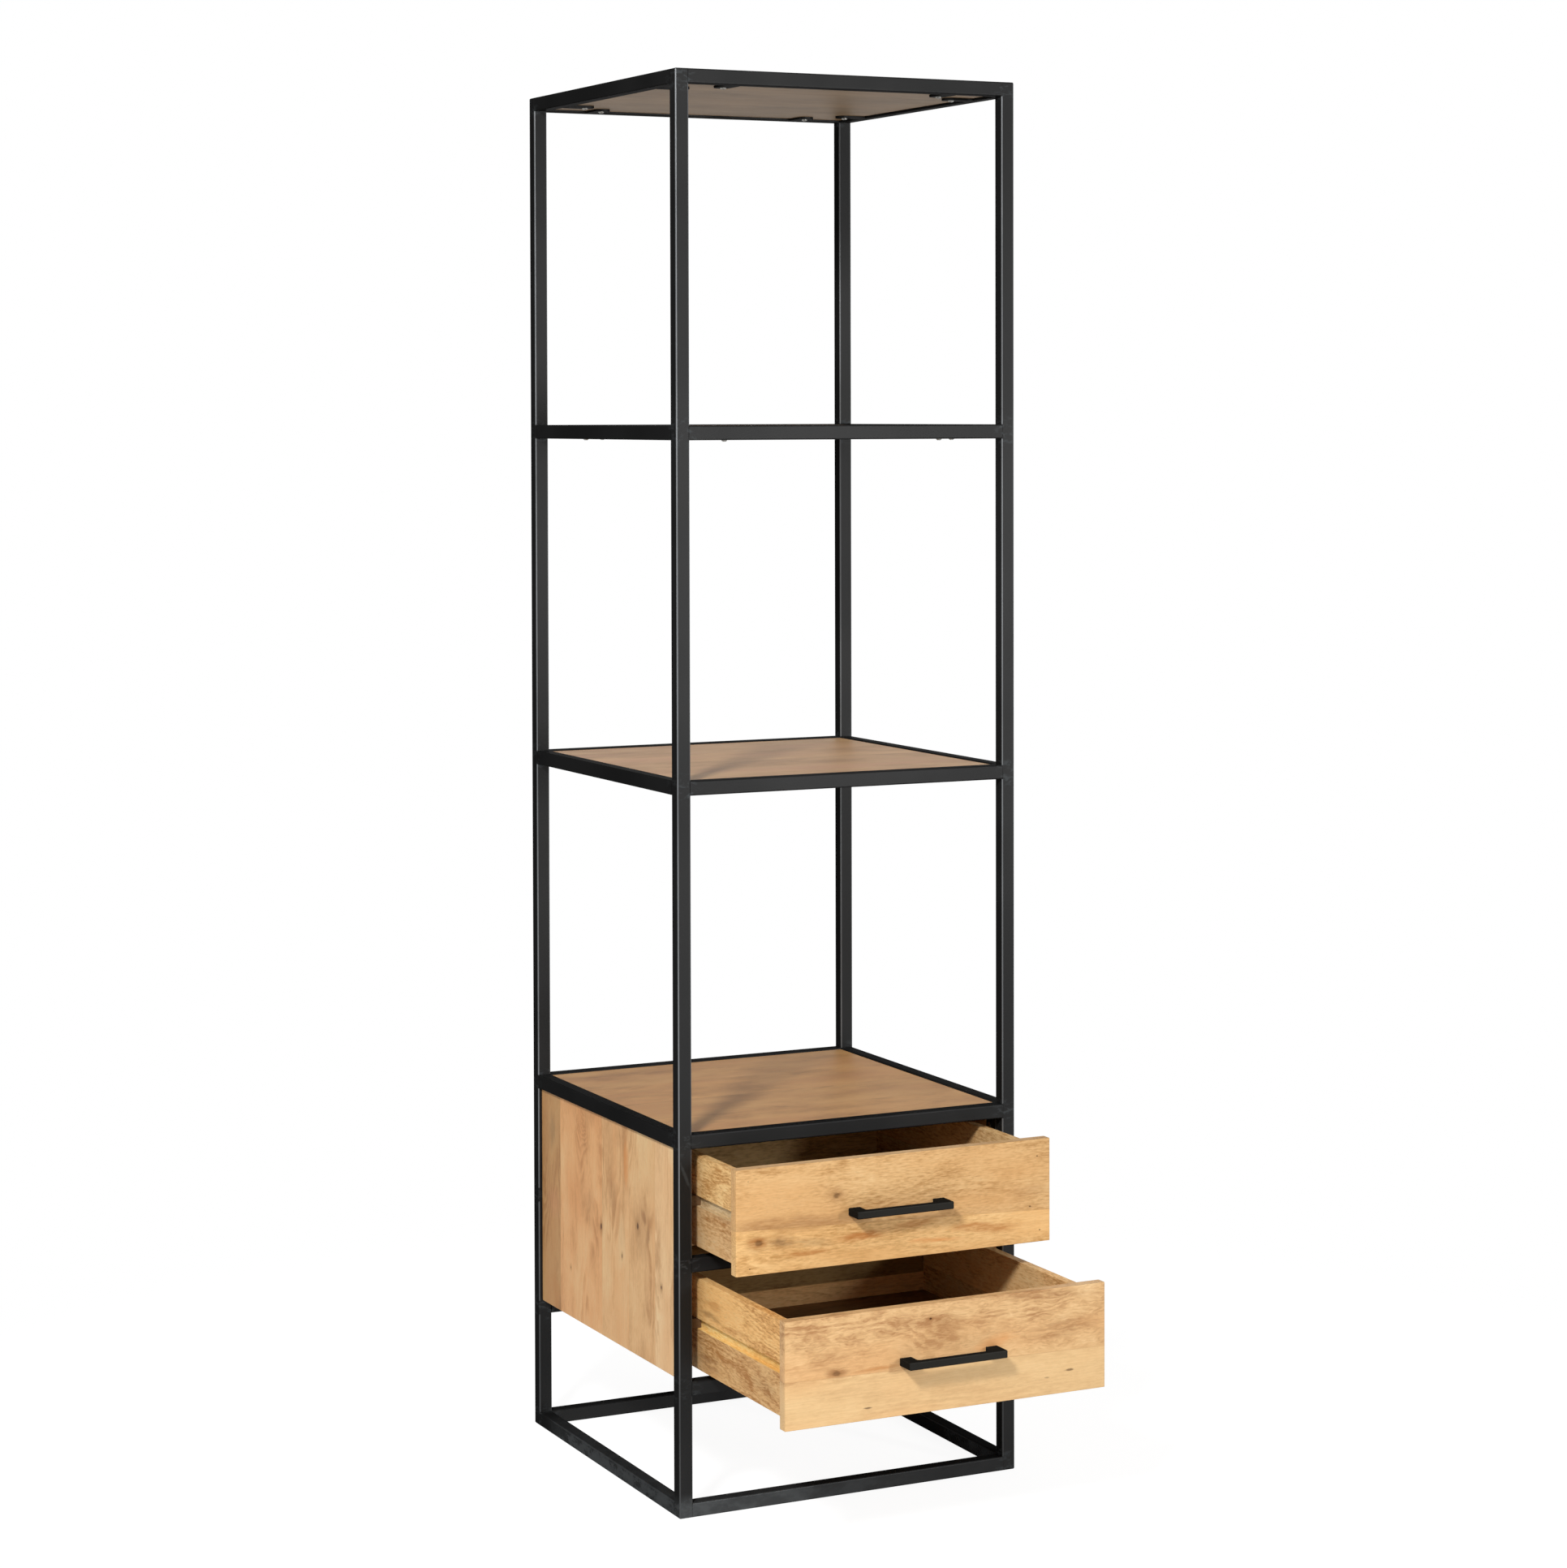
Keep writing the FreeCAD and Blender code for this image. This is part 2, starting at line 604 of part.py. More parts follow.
def drawer_handle(name, at, handle_centres):
    """Make a drawer's square bow handle and the two screws that hold it."""
    across = "(front_width - handle_length) / 2"
    up = "(front_height - handle_height) / 2"
    handle = new_body(f"{name}_drawer_handle", shifted(at, across, "-handle_reach", up))
    add_block(handle, "Z", "0", "0", "0", "handle_length", "handle_reach", "handle_height")
    gap = new_sketch(handle, "Z")
    grip = "handle_length - 2 * handle_foot"
    add_rectangle(gap, "handle_foot", "handle_bar", grip, "handle_reach")
    add_pocket(handle, gap, "Z")
    add_fillet(handle, "handle_edge", is_handle_edge)
    local = [(f"{place} - ({across})", f"{level} - ({up})") for place, level in handle_centres]
    add_holes(handle, "Y", local, "screw_radius + screw_fit", "handle_reach",
              "handle_screw_bite + screw_fit", False)
    screws = new_body(f"{name}_drawer_handle_screws", at)
    add_screws(screws, "Y", handle_centres, "front_thick", "front_thick + handle_screw_bite", False)


def is_handle_edge(start, end, box):
    """Accept a handle's edges except those that lie on the drawer front."""
    return not (start.y > box.YMax - 0.1 and end.y > box.YMax - 0.1)


def shifted(at, across, back, up):
    """Move a place by a formula along each axis."""
    return tuple(f"{place} + {step}" for place, step in zip(at, (across, back, up)))


def drawer(name, opening):
    """Make one drawer, open as far as it stands at rest."""
    at = ("tube + front_gap", f"-{opening['open']}", f"{opening['floor']} + front_reveal")
    level = "front_height / 2"
    handle_centres = [
        ("(front_width - handle_screw_span) / 2", level),
        ("(front_width + handle_screw_span) / 2", level),
    ]
    front_dowels = [
        (middle, f"box_rise + {height}")
        for middle in ("box_inset + side_thick / 2", "box_inset + box_width - side_thick / 2")
        for height in dowel_levels()
    ]
    drawer_front(name, at, handle_centres, front_dowels)
    drawer_sides(name, at)
    drawer_back(name, at)
    drawer_bottom(name, at)
    drawer_dowels(name, at, front_dowels)
    drawer_handle(name, at, handle_centres)


def check_and_export():
    """Stop on any failed object, then write each sub-part to its own file."""
    doc.recompute()
    for item in doc.Objects:
        if "Invalid" in item.State or "Error" in item.State:
            raise RuntimeError(f"{item.Name} failed: {item.State}")
    for part in sub_parts:
        if part.Shape.isNull() or not part.Shape.isValid():
            raise RuntimeError(f"{part.Label} has no sound shape")
    os.makedirs("parts", exist_ok=True)
    for part in sub_parts:
        part.Shape.exportStep(f"parts/{part.Label}.step")
        print(part.Label, len(part.Shape.Solids), round(part.Shape.Volume))


frame_posts()
frame_bars()
shelves()
cabinet_panels()
drawer_runners()
for drawer_name, drawer_place in DRAWERS.items():
    drawer(drawer_name, drawer_place)
check_and_export()
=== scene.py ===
"""A tower bookcase with two bottom drawers: the finish of every piece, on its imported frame."""

import logging
import math
from dataclasses import dataclass, field, replace
from enum import Enum

import bmesh
import bpy
import numpy as np
from mathutils import Matrix


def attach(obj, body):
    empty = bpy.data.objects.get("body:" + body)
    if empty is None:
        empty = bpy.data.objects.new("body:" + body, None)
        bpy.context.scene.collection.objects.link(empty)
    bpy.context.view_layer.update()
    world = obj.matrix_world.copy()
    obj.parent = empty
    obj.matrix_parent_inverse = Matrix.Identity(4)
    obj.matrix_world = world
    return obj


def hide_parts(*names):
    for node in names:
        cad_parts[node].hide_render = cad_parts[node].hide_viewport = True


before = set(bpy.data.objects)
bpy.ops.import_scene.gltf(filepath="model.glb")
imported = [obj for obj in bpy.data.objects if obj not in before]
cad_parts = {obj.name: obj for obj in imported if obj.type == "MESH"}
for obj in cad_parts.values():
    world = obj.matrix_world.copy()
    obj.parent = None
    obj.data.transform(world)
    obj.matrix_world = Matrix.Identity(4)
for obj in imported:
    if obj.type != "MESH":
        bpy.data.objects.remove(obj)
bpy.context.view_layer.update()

log = logging.getLogger("bookcase")
Array = np.ndarray
Material = bpy.types.Material
Socket = bpy.types.NodeSocket
Value = float | tuple | Socket

SPAN = 0.5  # the frame's outside width and depth
TUBE = 0.019  # the side of its square tube
FRONT_LEFT = np.array([-0.250, -0.101, 0.0])  # its front left corner on the floor
MIDDLE_BACK = 0.149  # the middle of its depth
POST_AXIS = (SPAN - TUBE) / 2  # from its middle to the axis of a post, across or back
RAIL_LEVELS = (0.159, 0.320)  # the lower faces of the rails
ROOM = 0.001  # how much larger a lining's box is than the faces that it is to hold
WHITE = (1.0, 1.0, 1.0, 1.0)


def shade(red: int, green: int, blue: int) -> tuple[float, float, float, float]:
    """Turn a colour of 0 to 255 per channel into the linear colour that sockets take."""
    channels = np.array([red, green, blue]) / 255
    low, high = channels / 12.92, ((channels + 0.055) / 1.055) ** 2.4
    return (*np.where(channels <= 0.04045, low, high).tolist(), 1.0)


# ---------------- surfaces


def rounded_outline(low: tuple, high: tuple, radius: float, steps: int) -> Array:
    """Outline a rectangle whose corners are quarter circles.

    A point is a corner's centre plus the radius times (cos t, sin t), and t runs a quarter
    turn at each corner, so the outline turns once, anticlockwise.

    Args:
        low: lowest corner, two numbers.
        high: highest corner, two numbers.
        radius: corner radius.
        steps: points per corner.

    Returns:
        The outline's points, as an array of pairs.
    """
    quarter = np.linspace(0, np.pi / 2, steps)
    turns = quarter[None] + np.arange(4)[:, None] * np.pi / 2
    centres = np.array([[high[0], high[1]], [low[0], high[1]], [low[0], low[1]], [high[0], low[1]]])
    inward = np.array([[-1, -1], [1, -1], [1, 1], [-1, 1]]) * radius
    circle = np.stack([np.cos(turns), np.sin(turns)], -1) * radius
    return ((centres + inward)[:, None] + circle).reshape(-1, 2)


def carried(outline: Array, axis: int, stations: tuple) -> Array:
    """Carry a closed outline straight along an axis.

    Ring i, point j is outline point j in the two other axes, at station i along the axis.

    Args:
        outline: points in the two other axes, in their order.
        axis: 0, 1 or 2 for X, Y or Z.
        stations: places along the axis.

    Returns:
        Rings of points, one per station.
    """
    others = [number for number in range(3) if number != axis]
    rings = np.empty((len(stations), len(outline), 3))
    rings[..., others] = outline[None]
    rings[..., axis] = np.asarray(stations)[:, None]
    return rings


def closed_skin(rings: Array) -> tuple[Array, list]:
    """Join rings of points into a closed skin: four-sided faces between, one face per end."""
    count, around, _ = rings.shape
    index = np.arange(count * around).reshape(count, around)
    here, there = index[:-1], index[1:]
    sides = np.stack([here, np.roll(here, -1, 1), np.roll(there, -1, 1), there], -1)
    faces = sides.reshape(-1, 4).tolist() + [index[0][::-1].tolist(), index[-1].tolist()]
    return rings.reshape(-1, 3), faces


@dataclass
class Piece:
    """A mesh piece that is put together from closed skins and handed to the frame.

    Attributes:
        MERGE: points closer together than this become one.
        SHARP: edges that turn by more than this many degrees are not smoothed.
        EASED: edges that turn by more than this many degrees are bevelled.
        name: the piece's name.
        body: the body that it rides on.
        slot: the record's material slot; not used.
        stands_for: the CAD nodes that it replaces.
        points: its points, one array per skin.
        faces: its faces.
        lining: another finish, and the box of the faces that have it.
    """

    MERGE = 1e-7
    SHARP = 35
    EASED = 50

    name: str
    body: str
    slot: str
    stands_for: tuple[str, ...] = ()
    points: list = field(default_factory=list)
    faces: list = field(default_factory=list)
    lining: tuple = ()

    def line(self, material: Material, low: tuple, high: tuple) -> None:
        """Give the faces whose middle lies in a box, such as a groove's, another finish."""
        self.lining = material, np.add(low, FRONT_LEFT), np.add(high, FRONT_LEFT)

    def add(self, rings: Array) -> None:
        """Add one closed skin, given as rings measured from the frame's front left corner."""
        points, faces = closed_skin(rings)
        start = sum(len(group) for group in self.points)
        self.points.append(points + FRONT_LEFT)
        self.faces.extend([[corner + start for corner in face] for face in faces])

    def finish(self, material: Material, easing: float = 0.0) -> None:
        """Make the object, with clean outward normals and eased edges, on its body.

        Args:
            material: its finish.
            easing: width of the bevel on its sharp edges, or 0 for none.
        """
        mesh = bpy.data.meshes.new(self.name)
        mesh.from_pydata(np.concatenate(self.points).tolist(), [], self.faces)
        work = bmesh.new()
        work.from_mesh(mesh)
        bmesh.ops.remove_doubles(work, verts=work.verts, dist=self.MERGE)
        bmesh.ops.dissolve_degenerate(work, edges=work.edges, dist=self.MERGE)
        bmesh.ops.recalc_face_normals(work, faces=work.faces)
        work.to_mesh(mesh)
        work.free()
        mesh.shade_smooth()
        mesh.set_sharp_from_angle(angle=math.radians(self.SHARP))
        mesh.materials.append(material)
        if self.lining:
            other, low, high = self.lining
            mesh.materials.append(other)
            middles = np.empty(len(mesh.polygons) * 3)
            mesh.polygons.foreach_get("center", middles)
            middles = middles.reshape(-1, 3)
            inside = ((middles > low) & (middles < high)).all(1)
            mesh.polygons.foreach_set("material_index", inside.astype(np.int32))
        piece = bpy.data.objects.new(self.name, mesh)
        bpy.context.scene.collection.objects.link(piece)
        if easing:
            bevel = piece.modifiers.new("eased edges", "BEVEL")
            bevel.width, bevel.segments = easing, 3
            bevel.limit_method, bevel.angle_limit = "ANGLE", math.radians(self.EASED)
            bevel.use_clamp_overlap, bevel.harden_normals = True, True
        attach(piece, self.body)
        if self.stands_for:
            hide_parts(*self.stands_for)
        log.info("%s: %d faces", self.name, len(mesh.polygons))


def dress_node(name: str, material: Material) -> None:
    """Give a CAD node its finish."""
    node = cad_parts[name]
    for number in range(len(node.data.materials)):
        node.data.materials[number] = material
    for holder in node.material_slots:
        holder.material = material
    if not node.data.materials:
        node.data.materials.append(material)


# ---------------- finishes


class Graph:
    """A node tree, with short calls for the nodes that the finishes use."""

    def __init__(self, owner: Material | bpy.types.World) -> None:
        """Start with the owner's tree, emptied."""
        owner.use_nodes = True
        self.owner = owner
        self.tree = owner.node_tree
        self.tree.nodes.clear()

    def add(self, kind: str, inputs: dict, **settings: object) -> bpy.types.Node:
        """Add a node.

        Args:
            kind: the node's type, without its ShaderNode prefix.
            inputs: constants or sockets for its inputs, by name or number.
            **settings: the node's own settings.

        Returns:
            The node.
        """
        node = self.tree.nodes.new(f"ShaderNode{kind}")
        for key, value in settings.items():
            setattr(node, key, value)
        for key, value in inputs.items():
            if isinstance(value, Socket):
                self.tree.links.new(value, node.inputs[key])
            else:
                node.inputs[key].default_value = value
        return node

    def point(self) -> Socket:
        """Give the place on the object, in metres."""
        return self.add("TexCoord", {}).outputs["Object"]

    def split(self, point: Socket) -> bpy.types.bpy_prop_collection:
        """Split a point into its three numbers."""
        return self.add("SeparateXYZ", {0: point}).outputs

    def join(self, *parts: Value) -> Socket:
        """Join up to three numbers into a point."""
        return self.add("CombineXYZ", dict(enumerate(parts))).outputs[0]

    def math(self, operation: str, *values: Value) -> Socket:
        """Work out a number from one to three others."""
        return self.add("Math", dict(enumerate(values)), operation=operation).outputs[0]

    def product(self, first: Value, *others: Value) -> Value:
        """Multiply numbers."""
        for other in others:
            first = self.math("MULTIPLY", first, other)
        return first

    def gap(self, first: Value, second: Value) -> Socket:
        """Measure how far apart two numbers are."""
        return self.math("ABSOLUTE", self.math("SUBTRACT", first, second))

    def vector(self, operation: str, *values: Value) -> Socket:
        """Work out a vector from one or two others."""
        return self.add("VectorMath", dict(enumerate(values)), operation=operation).outputs[0]

    def distance(self, first: Value, second: Value) -> Socket:
        """Measure the distance between two points."""
        inputs = {0: first, 1: second}
        return self.add("VectorMath", inputs, operation="DISTANCE").outputs["Value"]

    def span_from(self, at: Socket, middle: tuple[float, float], long: float, wide: float,
                  tilt: float = 0.0) -> Socket:
        """Measure a point's distance from an oval's middle, which is 1 on the oval.

        Args:
            at: the point: along, across and into the face.
            middle: the oval's middle.
            long: half its length, along.
            wide: half its width, across.
            tilt: its turn, in degrees.

        Returns:
            The distance.
        """
        inputs = {0: at, 1: (*middle, 0.0), 2: (0.0, 0.0, math.radians(tilt)),
                  3: (long, wide, 1000.0)}
        placed = self.add("Mapping", inputs, vector_type="TEXTURE").outputs[0]
        return self.add("VectorMath", {0: placed}, operation="LENGTH").outputs["Value"]

    def noise(self, at: Socket, rates: tuple, detail: float = 2.0, rough: float = 0.5,
              twist: float = 0.0, output: str = "Fac") -> Socket:
        """Add soft noise, from 0 to 1.

        Args:
            at: the point.
            rates: how many times it changes per metre, along each axis.
            detail: how many finer layers it has.
            rough: how strong the finer layers are.
            twist: how much it is distorted.
            output: Fac for one number, Color for three.

        Returns:
            The noise's value.
        """
        inputs = {"Vector": self.vector("MULTIPLY", at, rates), "Scale": 1.0, "Detail": detail,
                  "Roughness": rough, "Distortion": twist}
        return self.add("TexNoise", inputs).outputs[output]

    def ease(self, value: Value, start: float, end: float, low: float = 0.0,
             high: float = 1.0) -> Socket:
        """Turn a value smoothly from low at start to high at end."""
        inputs = {0: value, 1: start, 2: end, 3: low, 4: high}
        return self.add("MapRange", inputs, interpolation_type="SMOOTHSTEP").outputs[0]

    def blend(self, factor: Value, first: Value, second: Value, mode: str = "MIX") -> Socket:
        """Mix two colours."""
        inputs = {0: factor, 6: first, 7: second}
        return self.add("Mix", inputs, data_type="RGBA", blend_type=mode).outputs[2]

    def clouded(self, colour: tuple[int, int, int], cloud: Socket, share: float) -> Socket:
        """Vary a colour by a noise, down to a share of its brightness."""
        red, green, blue, _ = shade(*colour)
        darker = (share * red, share * green, share * blue, 1.0)
        return self.blend(self.ease(cloud, 0.35, 0.65), darker, shade(*colour))

    def ramp(self, value: Socket, stops: list[tuple[float, tuple]], steps: bool = False) -> Socket:
        """Turn a value into a colour between stops, or into steps of plain colour."""
        node = self.add("ValToRGB", {0: value})
        node.color_ramp.interpolation = "CONSTANT" if steps else "LINEAR"
        elements = node.color_ramp.elements
        while len(elements) < len(stops):
            elements.new(0.5)
        for element, (place, colour) in zip(elements, stops):
            element.position, element.color = place, colour
        return node.outputs[0]

    def end(self, shader: dict, heights: list[tuple[Value, float]]) -> Material:
        """Close the tree with a principled shader over a chain of bumps.

        Args:
            shader: the shader's inputs.
            heights: height patterns of 0 to 1, and how many metres 1 stands proud.

        Returns:
            The material.
        """
        normal = {}
        for height, depth in heights:
            inputs = {"Height": height, "Distance": depth, "Strength": 1.0, **normal}
            normal = {"Normal": self.add("Bump", inputs).outputs[0]}
        surface = self.add("BsdfPrincipled", {**shader, **normal}).outputs[0]
        self.add("OutputMaterial", {"Surface": surface})
        return self.owner


class Grain(Enum):
    """Which way a piece's grain runs: its axes along the grain, across it and into the face."""

    SIDEWAYS_UPRIGHT_FACE = ("X", "Z", "Y")
    SIDEWAYS_LEVEL_FACE = ("X", "Y", "Z")
    UPWARDS = ("Z", "Y", "X")
    UPWARDS_REAR = ("Z", "X", "Y")
    BACKWARDS = ("Y", "Z", "X")


@dataclass(frozen=True)
class Knot:
    """A knot or pin in a board's face.

    Attributes:
        along: place along the grain.
        across: place across the grain.
        radius: its size across the grain.
        dark: how dark its middle is, 0 to 1.
        stretch: how many times longer than wide it is.
        swirl: how far it bends the grain round it, in rings.
    """

    along: float
    across: float
    radius: float
    dark: float = 0.8
    stretch: float = 1.8
    swirl: float = 1.5


class Tone(Enum):
    """The colours that flames, hazes, pores and knots draw the wood towards."""

    AMBER = (188, 120, 58)
    ORANGE = (230, 152, 84)
    BROWN = (146, 96, 54)
    SMOKE = (116, 90, 60)
    PALE = (244, 208, 156)
    PINK = (226, 164, 120)
    PORE = (120, 82, 46)
    HALO = (150, 98, 50)
    HEART = (64, 34, 14)

    @property
    def colour(self) -> tuple[float, float, float, float]:
        """Give the colour that sockets take."""
        return shade(*self.value)


@dataclass(frozen=True)
class Flame:
    """A streaky patch of another tone in a board's face.

    Attributes:
        along: middle along the grain.
        across: middle across the grain.
        long: half its length.
        wide: half its width.
        tone: its tone.
        depth: how strongly it shows.
        tilt: its turn from the grain, in degrees.
        broken: how far the streaks break it up, from 0, a soft haze, to 1.
    """

    along: float
    across: float
    long: float
    wide: float
    tone: Tone
    depth: float
    tilt: float
    broken: float


@dataclass(frozen=True)
class Wood:
    """Solid mango wood, glued up from staves and lacquered.

    Attributes:
        name: the finish's name.
        grain: which way its grain runs.
        tones: its lightest tone, its usual one, that of its dark streaks, and a warmer one
            that it drifts to.
        seed: which part of the endless pattern it shows.
        seams: where the staves meet, across the grain.
        tints: a factor on the tone of each stave, lowest stave first.
        seam_slope: how far a seam climbs per metre of grain.
        knots: its knots and pins.
        flames: its flames and hazes.
        broad: how many broad bands a metre holds, along the grain and across it.
        bands: how strongly they show.
        blotch: how many soft blotches a metre holds, along the grain and across it.
        mottle: how strongly they show.
        dash: how strongly short fine dashes show.
        lines: how strongly dark lines show where the figure's levels crowd.
        pore: how dark the pores are.
        curl: how far the figure curls, in metres.
        curl_from: the figure curls above this place across the grain.
        calm: the share of its contrast that the rest of the board has.
        rough: its roughness.
        shine: its specular level.
    """

    name: str
    grain: Grain
    tones: tuple[tuple[int, int, int], ...]
    seed: float
    seams: tuple[float, ...] = ()
    tints: tuple[tuple, ...] = ()
    seam_slope: float = 0.0
    knots: tuple[Knot, ...] = ()
    flames: tuple[Flame, ...] = ()
    broad: tuple[float, float] = (2.6, 15.0)
    bands: float = 0.6
    blotch: tuple[float, float] = (19.0, 46.0)
    mottle: float = 0.5
    dash: float = 0.5
    lines: float = 0.14
    pore: float = 0.2
    curl: float = 0.003
    curl_from: float = -9.0
    calm: float = 1.0
    rough: float = 0.5
    shine: float = 0.15

    def build(self) -> Material:
        """Build the material."""
        graph = Graph(bpy.data.materials.new(self.name))
        parts = graph.split(graph.point())
        here = graph.join(*(parts[axis] for axis in self.grain.value))
        along, across, _ = graph.split(here)
        seams = [graph.math("MULTIPLY_ADD", along, self.seam_slope, seam) for seam in self.seams]
        stave = self.stave_number(graph, across, seams)
        shift = graph.join(*(graph.math("MULTIPLY_ADD", stave, step, self.seed * part)
                             for step, part in ((3.7, 1.37), (0.31, 0.53), (0.47, 0.71))))
        point = graph.vector("ADD", here, shift)
        swirl, halo, heart = self.knot_fields(graph, here)
        lively = graph.ease(across, self.curl_from - 0.004, self.curl_from + 0.004, self.calm, 1.0)
        bent = self.bend(graph, point, lively)
        lines = self.figure_lines(graph, bent, swirl)
        fibre = graph.noise(point, (16.0, 620.0, 620.0), 2.0, 0.6)
        pores = self.pores(graph, point)
        colour = self.colour(graph, bent, lines, fibre, lively)
        colour = self.stave_tints(graph, stave, colour)
        colour = self.flame_patches(graph, here, bent, colour)
        colour = graph.blend(graph.product(pores, self.pore), colour, Tone.PORE.colour)
        colour = graph.blend(graph.product(halo, 0.7), colour, Tone.HALO.colour)
        colour = graph.blend(heart, colour, Tone.HEART.colour)
        colour = self.glue_lines(graph, across, seams, colour)
        rough = graph.math("MULTIPLY_ADD", fibre, 0.14, self.rough - 0.07)
        relief = graph.math("MULTIPLY_ADD", pores, -0.9, fibre)
        shader = {"Base Color": colour, "Roughness": rough, "Specular IOR Level": self.shine}
        return graph.end(shader, [(relief, 0.00005), (lines, 0.00004), (heart, -0.00008)])

    def stave_number(self, graph: Graph, across: Socket, seams: list[Socket]) -> Value:
        """Count the seams below a point, which numbers its stave."""
        number: Value = 0.0
        for seam in seams:
            number = graph.math("ADD", number, graph.math("GREATER_THAN", across, seam))
        return number

    def knot_fields(self, graph: Graph, here: Socket) -> tuple[Value, Value, Value]:
        """Add up what the knots do: bend the grain, warm the wood round them, darken it.

        A point's distance from a knot is counted in the knot's radii, and roughened by noise.
        """
        swirl: Value = 0.0
        halo: Value = 0.0
        heart: Value = 0.0
        if not self.knots:
            return swirl, halo, heart
        jitter = graph.noise(here, (110.0, 190.0, 190.0))
        jitter = graph.math("MULTIPLY_ADD", jitter, 1.3, -0.65)
        for knot in self.knots:
            span = graph.span_from(here, (knot.along, knot.across), knot.radius * knot.stretch,
                                   knot.radius)
            span = graph.math("ADD", span, jitter)
            heart = graph.math("MAXIMUM", heart, graph.ease(span, 1.0, 0.3, 0.0, knot.dark))
            if knot.swirl > 0:
                swirl = graph.math("ADD", swirl, graph.ease(span, 5.5, 0.0, 0.0, knot.swirl))
                warm = graph.ease(span, 3.0, 0.4, 0.0, 0.3 + knot.dark * 0.45)
                halo = graph.math("MAXIMUM", halo, warm)
        return swirl, halo, heart

    def bend(self, graph: Graph, point: Socket, lively: Socket) -> Socket:
        """Push a point about by soft noise, as far as the board is curly there."""
        push = graph.noise(point, (28.0, 60.0, 60.0), output="Color")
        push = graph.vector("SUBTRACT", push, (0.5, 0.5, 0.5))
        reach = graph.product(lively, self.curl)
        strength = graph.join(graph.product(reach, 2.2), reach, reach)
        return graph.vector("ADD", point, graph.vector("MULTIPLY", push, strength))

    def figure_lines(self, graph: Graph, bent: Socket, swirl: Value) -> Socket:
        """Draw fine dark lines along the levels of a long soft noise.

        The phase is that noise, 20 levels from its low to its high, plus the knots' swirl.
        Its fraction rises slowly and drops faster, as early wood turns to late wood. A second
        noise lets the lines come and go.
        """
        levels = graph.noise(bent, (2.4, 14.0, 14.0), 1.0, 0.4)
        part = graph.math("FRACT", graph.math("MULTIPLY_ADD", levels, 20.0, swirl))
        patch = graph.ease(graph.noise(bent, (7.0, 24.0, 24.0)), 0.4, 0.66)
        return graph.product(graph.ease(part, 0.0, 0.7), graph.ease(part, 1.0, 0.75), patch)

    def pores(self, graph: Graph, point: Socket) -> Socket:
        """Scatter short dark pores along the grain."""
        fleck = graph.noise(point, (110.0, 1100.0, 1100.0), 1.0)
        patch = graph.noise(point, (9.0, 40.0, 40.0), 1.0)
        return graph.ease(graph.math("MULTIPLY_ADD", patch, 0.22, fleck), 0.74, 0.84)

    def colour(self, graph: Graph, bent: Socket, lines: Socket, fibre: Socket,
               lively: Socket) -> Socket:
        """Mix the wood's tones: the middle, plus bands, blotches, dashes and lines."""
        light, middle, dark, blush = (shade(*tone) for tone in self.tones)
        tone: Value = 0.0
        for (long, wide), detail, weight in ((self.broad, 2.0, self.bands),
                                             (self.blotch, 3.0, self.mottle),
                                             ((100.0, 480.0), 2.0, self.dash)):
            layer = graph.noise(bent, (long, wide, wide), detail)
            layer = graph.math("MULTIPLY_ADD", layer, weight, -0.5 * weight)
            tone = graph.math("ADD", tone, layer)
        tone = graph.math("MULTIPLY_ADD", lines, -self.lines, tone)
        tone = graph.math("MULTIPLY_ADD", tone, lively, 0.5)
        colour = graph.ramp(tone, [(0.15, dark), (0.5, middle), (0.85, light)])
        warm = graph.noise(bent, (4.0, 16.0, 16.0))
        colour = graph.blend(graph.ease(warm, 0.45, 0.7, 0.0, 0.6), colour, blush)
        streaks = graph.ramp(graph.ease(fibre, 0.3, 0.7), [
            (0.0, (0.955, 0.945, 0.93, 1.0)), (1.0, (1.02, 1.02, 1.02, 1.0))])
        return graph.blend(1.0, colour, streaks, "MULTIPLY")

    def stave_tints(self, graph: Graph, stave: Value, colour: Socket) -> Socket:
        """Give each stave a tone of its own."""
        if not self.tints:
            return colour
        count = len(self.tints)
        share = graph.math("DIVIDE", graph.math("ADD", stave, 0.5), float(count))
        stops = [(number / count, (*tint, 1.0)) for number, tint in enumerate(self.tints)]
        return graph.blend(1.0, colour, graph.ramp(share, stops, steps=True), "MULTIPLY")

    def flame_patches(self, graph: Graph, here: Socket, point: Socket, colour: Socket) -> Socket:
        """Lay the flames: an oval patch whose edge and body are broken into streaks."""
        if not self.flames:
            return colour
        streak = graph.noise(point, (26.0, 210.0, 210.0), 3.0, 0.6, 0.4)
        wave = graph.noise(point, (22.0, 60.0, 60.0))
        wave = graph.math("MULTIPLY_ADD", wave, 1.1, -0.55)
        for flame in self.flames:
            span = graph.span_from(here, (flame.along, flame.across), flame.long, flame.wide,
                                   flame.tilt)
            body = graph.ease(graph.math("ADD", span, wave), 1.0, 0.25, 0.0, flame.depth)
            gaps = graph.ease(streak, 0.38, 0.56, 1.0 - flame.broken, 1.0)
            colour = graph.blend(graph.product(body, gaps), colour, flame.tone.colour)
        return colour

    def glue_lines(self, graph: Graph, across: Socket, seams: list[Socket],
                   colour: Socket) -> Socket:
        """Draw a fine dark glue line where two staves meet."""
        dark = shade(*self.tones[2])
        for seam in seams:
            line = graph.ease(graph.gap(across, seam), 0.0009, 0.0002, 0.0, 0.25)
            colour = graph.blend(line, colour, dark)
        return colour


